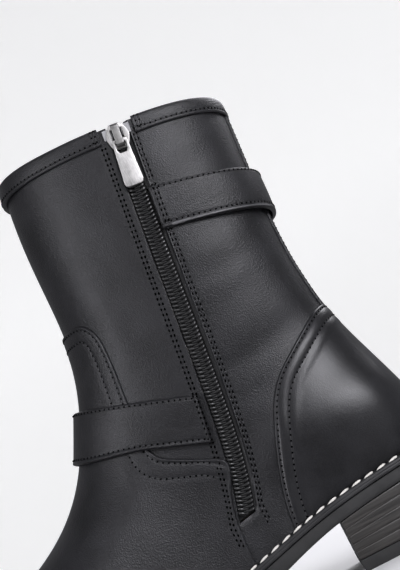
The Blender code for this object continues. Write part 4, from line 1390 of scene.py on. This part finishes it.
def wire(points, radius, closed, sides=14):  # points and faces of a round wire
    points = np.asarray(points, float)
    radius = np.broadcast_to(radius, len(points))
    ahead = np.roll(points, -1, axis=0) - np.roll(points, 1, axis=0)
    if not closed:
        ahead[0], ahead[-1] = points[1] - points[0], points[-1] - points[-2]
    ahead = unit(ahead)
    side = unit(np.cross(ahead, (0.13, 0.21, 0.97)))  # a slant that no wire here follows
    over = np.cross(side, ahead)
    turn = np.linspace(0, tau, sides, endpoint=False)
    ring = side[:, None] * np.cos(turn)[None, :, None] + over[:, None] * np.sin(turn)[None, :, None]
    return tubeRings(points[:, None] + ring * radius[:, None, None], closed)


def joined(shapes, matrix):  # several sets of points and faces, set in place from millimetres
    points, faces = [], []
    for shapePoints, shapeFaces in shapes:
        start = len(points)
        points += [tuple(matrix @ (Vector(at) * mm)) for at in shapePoints]
        faces += [[start + i for i in face] for face in shapeFaces]
    return points, faces


buckle = {
    "wire": 1.2,
    "length": 18.0,
    "besideStrap": 2.2,
    "corner": 3.0,
    "overLeather": 0.4,
    "overStrap": 3.8,
    "prong": 0.8,
    "prongEnds": (1.15, 0.75),  # shares of its radius, not more than 1
}


def addBuckle(name, node, shape, column, towards):
    level, angle = strapSpot(shape, np.array([column - 1.0, column, column + 1.0]), np.zeros(3))
    around = skin(level, angle)
    matrix = frameAt(around[1], (around[2] - around[0]) * towards, outward(level, angle)[1])
    length, half = buckle["length"], buckle["length"] / 2
    low = buckle["overLeather"] + buckle["wire"]
    high = buckle["overStrap"] + straps["thick"] + buckle["wire"]
    ring = []
    for x, y in roundedBox(2 * (shape["halfHeight"] + buckle["besideStrap"]), length, buckle["corner"]):
        ring.append((x, y, low + (high - low) * (half - y) / length))
    prong = [(half - 0.3, low + 0.5), (half - 2, high + 0.1), (0, high + 0.3), (-half - 1.5, high + 0.9)]
    prong = resampled(np.array([(0, y, z) for y, z in prong]), 0.8)
    thin = buckle["prong"] * np.minimum(np.linspace(*buckle["prongEnds"], len(prong)), 1)
    shapes = [wire(ring, buckle["wire"], True), wire(prong, thin, False)]
    addSolid(name, joined(shapes, matrix), "buckle", "oldSilver", node)


addStitches("strapStitches", addStrap("upper") + addStrap("lower"), "seam")
print("straps: bands, chapes, buckles and stitches")


# Zip: tape, interlocking coil, slider and pull
tape = {
    "halfWidth": 9.0,
    "thick": 0.8,
    "underSkin": 2.5,
    "overSlotEnd": 0.012,
    "high": 1.99,
    "rows": 110,
    "columns": 15,
    "endLevels": (1.955, 1.992, 8),
    "endAcross": (2.4, 6.9, 8),
    "endOut": 0.35,
    "endThick": 0.6,
}


def zipSpot(level, across):
    return level, angleAt(level, zipAlong(level) + across)


def addTape(name, level, across, out, thick, node=None, finish="tapeEnd"):
    level, angle = zipSpot(level[None, :] + 0 * across[:, None], across[:, None])
    out = out + 0 * level
    shape = wall(laid(level, angle, out), laid(level, angle, out - thick))
    addSolid(name, shape, "nylon", finish, node)


def addTapes():
    level = np.linspace(zipper["slotLowLevel"] + tape["overSlotEnd"], tape["high"], tape["rows"])
    across = np.linspace(-tape["halfWidth"], tape["halfWidth"], tape["columns"])
    addTape("zipTape", level, across, -tape["underSkin"], tape["thick"], "zip_chain", "zipTape")
    for side, name in ((1, "tapeEndFront"), (-1, "tapeEndBack")):
        across = side * np.linspace(*tape["endAcross"])
        addTape(name, np.linspace(*tape["endLevels"]), across, tape["endOut"], tape["endThick"])


coil = {
    "line": (  # a loop: across the zip, along it and out
        (3.3, 1.15, -1.6), (3.6, 0.95, -0.9), (3.45, 0.6, -0.35), (2.8, 0.25, -0.05), (2.0, 0.05, -0.1),
        (1.2, -0.08, -0.2), (0.4, -0.14, 0.1), (-0.35, -0.18, 0.15), (-0.9, -0.22, -0.1),
        (-1.15, -0.25, -0.9),
    ),
    "thick": (0.42, 0.5, 0.55, 0.58, 0.55, 0.42, 0.3, 0.27, 0.25, 0.2),
    "belowCollar": 9.0,
    "overSlotEnd": 0.025,
    "out": -0.05,
    "linePoints": 300,
    "pointsInPitch": 4,
    "loopPoints": 15,
    "sides": 8,
}


def toothTree():
    sockets = [("Pitch", "Float"), ("Tooth", "Object"), ("Out", "Vector"), ("Finish", "Material")]
    tree, start, end = groupTree("zipTeeth", sockets)
    tangent = addNode(tree, "GeometryNodeInputTangent").outputs["Tangent"]
    along = turnedTo(tree, {"Vector": tangent}, axis="X")
    turn = turnedTo(tree, {"Rotation": along, "Vector": start["Out"]}, axis="Z", pivot_axis="X")
    shape = addNode(tree, "GeometryNodeObjectInfo", {"Object": start["Tooth"]}).outputs["Geometry"]
    teeth = repeated(tree, evenSpots(tree, start), shape, turn, start["Finish"])
    tree.links.new(teeth, end["Geometry"])
    return tree


def addCoil():
    tree = toothTree()
    along = zipper["atCollar"]
    high = float(levelAt(along, collarHeight(along) - coil["belowCollar"]))
    level = np.linspace(zipper["slotLowLevel"] + coil["overSlotEnd"], high, coil["linePoints"])
    line = laid(*zipSpot(level, 0 * level), 0 * level + coil["out"])
    line = resampled(line, zipper["toothPitch"] / coil["pointsInPitch"])
    half = coil["pointsInPitch"] // 2  # the two sides interlock all the way up
    knots = range(len(coil["line"]))
    at = np.linspace(0, knots[-1], coil["loopPoints"])
    path = np.stack([smoothLine(knots, values)(at) for values in zip(*coil["line"])], axis=1)
    thick = np.interp(at, knots, coil["thick"])
    for side, name, row in ((1, "coilFront", line[:-half]), (-1, "coilBack", line[half:])):
        loop = np.stack([path[:, 1], side * path[:, 0], path[:, 2]], axis=1)
        shape = joined([wire(loop, thick, False, coil["sides"])], Matrix())
        helper = bpy.data.objects.new(name + "Tooth", madeMesh(name + "Tooth", *shape, "nylon"))
        boot.objects.link(helper)
        settings = {"Pitch": zipper["toothPitch"] * mm, "Tooth": helper}
        settings.update({"Out": (0.0, -1.0, 0.0), "Finish": looks["coilNylon"]})
        mesh = throughNodes(name, rowsMesh(name + "Row", [row]), tree, settings)
        bpy.data.objects.remove(helper)
        addPiece(name, mesh, ())


zipRows = {  # stitch rows beside the zip
    "front": {"side": 1, "rows": "frontRows", "strap": "lower", "out": -0.15},
    "back": {"side": -1, "rows": "backRows", "strap": "upper", "out": -0.07},
    "levels": (0.13, 1.93, 500),
    "overVamp": 1.2,
    "vampTop": (75.5, 79.0),
    "overStrap": 2.5,
    "strapEdge": (-0.8, 0.6),
    "shift": 3,  # points, which put the second row half a stitch on
}


def zipStitchRows(row):
    shape = straps[row["strap"]]
    rows = []
    for index, away in enumerate(zipper[row["rows"]]):
        level = np.linspace(*zipRows["levels"])
        level, angle = zipSpot(level, row["side"] * (zipper["slotHalfWidth"] + away) + 0 * level)
        base = skin(level, angle)
        out = np.full(len(level), row["out"])
        if row["side"] > 0:
            out = np.maximum(out, zipRows["overVamp"] * (1 - eased(*zipRows["vampTop"], base[:, 2])))
        across = np.abs(base[:, 2] - strapHeight(shape, base[:, 0]))
        crown = straps["crown"] * np.maximum(1 - (across / shape["halfHeight"]) ** 2, 0)
        onStrap = 1 - eased(*zipRows["strapEdge"], across - shape["halfHeight"])
        out = out + (zipRows["overStrap"] + crown - out) * onStrap
        rows.append(resampled(laid(level, angle, out), threadStep)[zipRows["shift"] * index :])
    return rows


addTapes()
addCoil()
addStitches("zipFrontStitches", zipStitchRows(zipRows["front"]), "zipFront")
addStitches("zipBackStitches", zipStitchRows(zipRows["back"]), "zipBack")
print("zip: tape, coil and stitches")


def filleted(points, radius, steps=6):  # the outline with its corners rounded
    points = np.array(points, float)
    made = []
    for i in range(len(points)):
        before, at, after = points[i - 1], points[i], points[(i + 1) % len(points)]
        toBefore, toAfter = unit(before - at), unit(after - at)
        turn = math.acos(float(np.clip(toBefore @ toAfter, -1, 1)))
        room = 0.45 * min(np.linalg.norm(before - at), np.linalg.norm(after - at))
        reach = min(radius / math.tan(turn / 2), room)
        start, end = at + toBefore * reach, at + toAfter * reach
        for step in range(steps + 1):
            t = step / steps
            made.append(tuple((1 - t) ** 2 * start + 2 * t * (1 - t) * at + t**2 * end))
    return made


def pressed(outlines, thick, bevel):  # points and faces of a plate with bevelled edges
    data = bpy.data.curves.new("outline", "CURVE")
    data.dimensions = "2D"
    data.fill_mode = "BOTH"
    data.extrude = thick / 2 - bevel
    data.bevel_depth = bevel
    data.bevel_resolution = 3
    data.offset = -bevel
    for outline in outlines:
        line = data.splines.new("POLY")
        line.points.add(len(outline) - 1)
        for point, at in zip(line.points, outline):
            point.co = (at[0], at[1], 0, 1)
        line.use_cyclic_u = True
    holder = bpy.data.objects.new("outline", data)
    mesh = bpy.data.meshes.new_from_object(holder)
    points = [tuple(vert.co) for vert in mesh.vertices]
    faces = [list(face.vertices) for face in mesh.polygons]
    bpy.data.objects.remove(holder)
    bpy.data.meshes.remove(mesh)
    return points, faces


slider = {  # across and down the zip
    "belowCollar": 6.8,
    "thick": 1.2,
    "half": ((2.6, -7.2), (4.6, -4.8), (5.9, -1.4), (5.9, 0.2), (4.5, 4.4), (3.4, 6.0)),
    "bevel": 0.4,
    "corner": 1.2,
    "recess": {"beside": 0.8, "top": -4.3, "short": 0.1, "corner": 0.6},
    "bridge": {"halfWidth": 2.0, "thick": 1.2, "bevel": 0.45, "corner": 0.7, "room": 0.35, "sunk": 0.4},
}
pull = {
    "hingeAlong": 2.4,
    "hingeClear": 1.45,
    "bar": 0.9,
    "thick": 1.6,
    "length": 23.4,
    "bevel": 0.38,
    "corner": 0.9,
    "window": {"halfWidth": 2.6, "top": 0.9, "low": 6.1, "cut": (0.9, 1.6), "corner": 0.6},
}


def sliderFrame():
    along = float(zipAlong(np.array([2.0]))[0])
    level = np.array([levelAt(along, collarHeight(along) - slider["belowCollar"])])
    angle = angleAt(level, zipAlong(level))
    lower = level - 0.05
    below = skin(lower, angleAt(lower, zipAlong(lower)))[0]
    point = skin(level, angle)[0]
    return frameAt(point, below - point, outward(level, angle)[0])


def mirrored(half):
    return list(half) + [(-x, y) for x, y in reversed(half)]


def addSlider(matrix):
    recess, bridge = slider["recess"], slider["bridge"]
    top = last["gap"] + slider["thick"]
    ceiling = top + 2 * pull["hingeClear"]
    lower = pull["hingeAlong"] + pull["bar"] + bridge["room"]
    wide, end = bridge["halfWidth"] + recess["beside"], lower - recess["short"]
    hole = [(-wide, recess["top"]), (wide, recess["top"]), (wide, end), (-wide, end)]
    outlines = [filleted(mirrored(slider["half"]), slider["corner"]), filleted(hole, recess["corner"])]
    points, faces = pressed(outlines, slider["thick"], slider["bevel"])
    plate = [(x, y, z + (last["gap"] + top) / 2) for x, y, z in points], faces
    addSolid("zipSlider", joined([plate], matrix), "zipMetal", "oldSilver", "zip_slider")
    foot, roof = top - bridge["sunk"], ceiling + bridge["thick"]
    arch = [  # down the zip and out
        (-6.2, foot), (-6.2, ceiling + 0.3), (-5.2, roof), (lower + 0.7, roof), (lower + 1.6, ceiling + 0.3),
        (lower + 1.6, foot), (lower, foot), (lower, ceiling), (-4.6, ceiling), (-4.6, foot),
    ]
    points, faces = pressed([filleted(arch, bridge["corner"])], 2 * bridge["halfWidth"], bridge["bevel"])
    shape = joined([([(z, x, y) for x, y, z in points], faces)], matrix)
    addSolid("zipBridge", shape, "zipMetal", "darkSilver")


def addPull(matrix):
    length, bar, window = pull["length"], pull["bar"], pull["window"]
    over = last["gap"] + slider["thick"] + pull["hingeClear"]
    hinge = Matrix.Translation(Vector((0, pull["hingeAlong"], over)) * mm)
    half = [(3.4, -bar), (4.0, 0), (4.2, 6), (4.9, length - 2), (4.2, length - 0.4), (3.0, length)]
    outline = [(-3.4, -bar)] + half + [(-x, y) for x, y in reversed(half[1:])]
    wide, high, low = window["halfWidth"], window["top"], window["low"]
    cutAcross, cutDown = window["cut"]
    corners = [
        (-wide, high), (wide, high), (wide, low - cutDown), (wide - cutAcross, low), (cutAcross - wide, low),
        (-wide, low - cutDown),
    ]
    outlines = [filleted(outline, pull["corner"]), filleted(corners, window["corner"])]
    shape = joined([pressed(outlines, pull["thick"], pull["bevel"])], matrix @ hinge)
    addSolid("zipPull", shape, "zipMetal", "oldSilver", "zip_pull", "pull")


sliderMatrix = sliderFrame()
addSlider(sliderMatrix)
addPull(sliderMatrix)
print("zip: slider and pull")


# Sole: welt, outsole, stacked heel and insole, as rings round the foot
def soleBottom(along):
    drop = sole["weltThick"] + 2 * last["gap"] + sole["soleThick"]
    breast = featherHeight(np.array([sole["heelBreast"], sole["heelBreast"] + 1]))
    start, slope = breast[0] - drop, breast[1] - breast[0]
    run = sole["treadBack"] - sole["heelBreast"]
    t = np.clip((along - sole["heelBreast"]) / run, 0, 1)
    arch = start * (2 * t**3 - 3 * t**2 + 1) + slope * run * (t**3 - 2 * t**2 + t)
    toeRun = last["length"] + sole["weltOut"] - sole["treadFront"]
    lift = sole["toeSpring"] * (np.maximum(along - sole["treadFront"], 0) / toeRun) ** 2
    return np.where(along < sole["heelBreast"], featherHeight(along) - drop, arch + lift)


def atHeight(ring, height):
    return np.stack([ring[:, 0], ring[:, 1], height + 0 * ring[:, 0]], axis=1)


def bothSides(ring):  # the inner and the outer side of a ring, each from the heel
    half = len(ring) // 2
    return ring[: half + 1], np.concatenate([ring[:1], ring[: half - 1 : -1]])


def addRings(name, node, rings, heights, finish, across=16):  # top ring first, with a cap at both ends
    count = len(rings[0])
    points = [np.concatenate(rings)]
    faces = []
    index = np.arange(len(rings) * count).reshape(len(rings), count)
    for above, below in zip(index[:-1], index[1:]):
        faces.append(np.stack([above, np.roll(above, -1), np.roll(below, -1), below], axis=1))
    start = len(rings) * count
    share = np.linspace(0, 1, across + 1)[None, :, None]
    for ring, height in zip((rings[0], rings[-1]), heights):
        left, right = bothSides(ring)
        grid = left[:, None] * (1 - share) + right[:, None] * share
        grid[:, 1:-1, 2] = height(grid[:, 1:-1, 0])
        cells = start + np.arange(grid.shape[0] * grid.shape[1]).reshape(grid.shape[:2])
        quads = np.stack([cells[:-1, :-1], cells[1:, :-1], cells[1:, 1:], cells[:-1, 1:]], axis=-1)
        faces.append(quads.reshape(-1, 4))
        points.append(grid.reshape(-1, 3))
        start += cells.size
    shape = place(np.concatenate(points)), np.concatenate(faces)
    addSolid(name, shape, "sole", finish, node)


def rimRings(profile, height, drawn=0.0):  # profile holds out from the leather's edge and up from the height
    rings = []
    for out, up in profile:
        ring = rim(out + drawn)
        rings.append(atHeight(ring, height(ring[:, 0]) + up))
    return rings


welt = {
    "profile": (  # out from the leather's edge and down from the leather
        (-8.0, 0.3), (1.2, 0.3), (2.6, 0.42), (3.3, 0.62), (3.9, 0.66), (4.5, 0.52), (5.1, 0.6), (5.6, 0.9),
        (5.9, 1.4), (6.0, 2.0), (5.92, 2.3), (5.82, 2.45), (5.92, 2.6), (6.0, 2.9), (5.95, 3.6), (5.7, 4.1),
        (5.2, 4.3), (-8.0, 4.3),
    ),
    "stitchOut": 3.7,
    "stitchDown": 0.35,
    "stitchTilt": -0.16,
}


def addWelt():
    rings = rimRings([(out, -down) for out, down in welt["profile"]], featherHeight)
    shape = tubeRings(place(np.stack(rings, axis=1)), True)
    addSolid("weltRing", shape, "welt", "weltRubber", "welt")
    row = rim(welt["stitchOut"])
    row = np.concatenate([row, row[:1]])
    row = resampled(atHeight(row, featherHeight(row[:, 0]) - welt["stitchDown"]), 1.0)
    addStitches("weltStitches", [row], "welt", (0.0, 0.0, welt["stitchTilt"]))


outsole = {  # out from the leather's edge and up from the sole's top or bottom
    "top": ((5.0, 0.0), (5.45, -0.3), (5.6, -0.9)),
    "bottom": ((5.6, 1.6), (5.5, 0.8), (5.2, 0.25), (4.6, 0.0)),
}


def addOutsole():
    top = lambda along: featherHeight(along) - sole["weltThick"] - 2 * last["gap"]
    rings = rimRings(outsole["top"], top) + rimRings(outsole["bottom"], soleBottom)
    addRings("outsolePlate", "outsole", rings, (top, soleBottom), "soleRubber")


heel = {
    "inset": 1.0,  # from the welt's edge
    "sidePoints": 90,
    "breastPoints": 16,
    "layers": 5,
    "layer": ((0.0, 0.22), (0.06, 0.04), (0.14, 0.0), (0.86, 0.0), (0.94, 0.04), (1.0, 0.22)),  # down and in
    "topLift": ((6.0, 0.3), (5.8, 0.05), (5.4, 0.0), (1.2, 0.1), (0.4, 0.3), (0.0, 0.9)),  # height and in
    "topLiftTaper": 0.01,
    "across": 12,
}


def heelOutline(inset, share):  # from the back's middle along the inner side to the breast, and round again
    breastAlong = sole["heelBreast"] - inset
    sides = []
    for line in bothSides(rim(sole["weltOut"] - heel["inset"] - inset)):
        corner = np.array([[breastAlong, np.interp(breastAlong, line[:, 0], line[:, 1]), 0]])
        side = np.concatenate([line[line[:, 0] < breastAlong], corner])
        step = runAlong(side)[-1] / (heel["sidePoints"] + 0.5)
        sides.append(resampled(side, step)[: heel["sidePoints"] + 1])
    front = (sides[0][-1] + sides[1][-1]) / 2
    outline = []
    for side in sides:
        breast = side[-1] + (front - side[-1]) * np.linspace(0, 1, heel["breastPoints"])[1:, None]
        outline.append(np.concatenate([side, breast]))
    ring = np.concatenate([outline[0], outline[1][1:-1][::-1]])
    ring[:, 0] = sole["heelBreast"] - (sole["heelBreast"] - ring[:, 0]) * share
    ring[:, 1] = ring[:, 1] * share
    return ring


def addHeel():
    thick = sole["topLiftThick"]
    low = thick + last["gap"]
    level = lambda height: lambda along: height + 0 * along
    seat = lambda along: soleBottom(np.minimum(along, sole["heelBreast"] - 1e-6)) - last["gap"]
    rings = []
    for layer in range(heel["layers"]):
        for inLayer, inset in heel["layer"]:
            down = (layer + inLayer) / heel["layers"]
            ring = heelOutline(inset, 1 - (1 - sole["heelTaper"]) * down)
            rings.append(atHeight(ring, seat(ring[:, 0]) * (1 - down) + low * down))
    addRings("heelStack", "heel_block", rings, (seat, level(low)), "heelStack", heel["across"])
    rings = []
    for height, inset in heel["topLift"]:
        taper = sole["heelTaper"] - heel["topLiftTaper"] * (1 - height / thick)
        rings.append(atHeight(heelOutline(inset, taper), height))
    flat = (level(thick), level(0.0))
    addRings("heelTopLift", "heel_top_lift", rings, flat, "soleRubber", heel["across"])


insole = {"profile": ((-5.0, 3.0), (-3.6, 2.9), (-2.9, 2.5), (-2.7, 1.8), (-2.7, 0.0))}  # out and up


def addInsole():
    top = lambda along: featherHeight(along) + sole["insoleThick"]
    drawn = tucked(0 * rimAngles, skin(0 * rimAngles, rimAngles))[:, None]
    rings = rimRings(insole["profile"], featherHeight, drawn)
    addRings("insoleBoard", "insole", rings, (top, featherHeight), "insoleLeather")


addWelt()
addOutsole()
addHeel()
addInsole()
print("sole: welt, outsole, heel and insole")
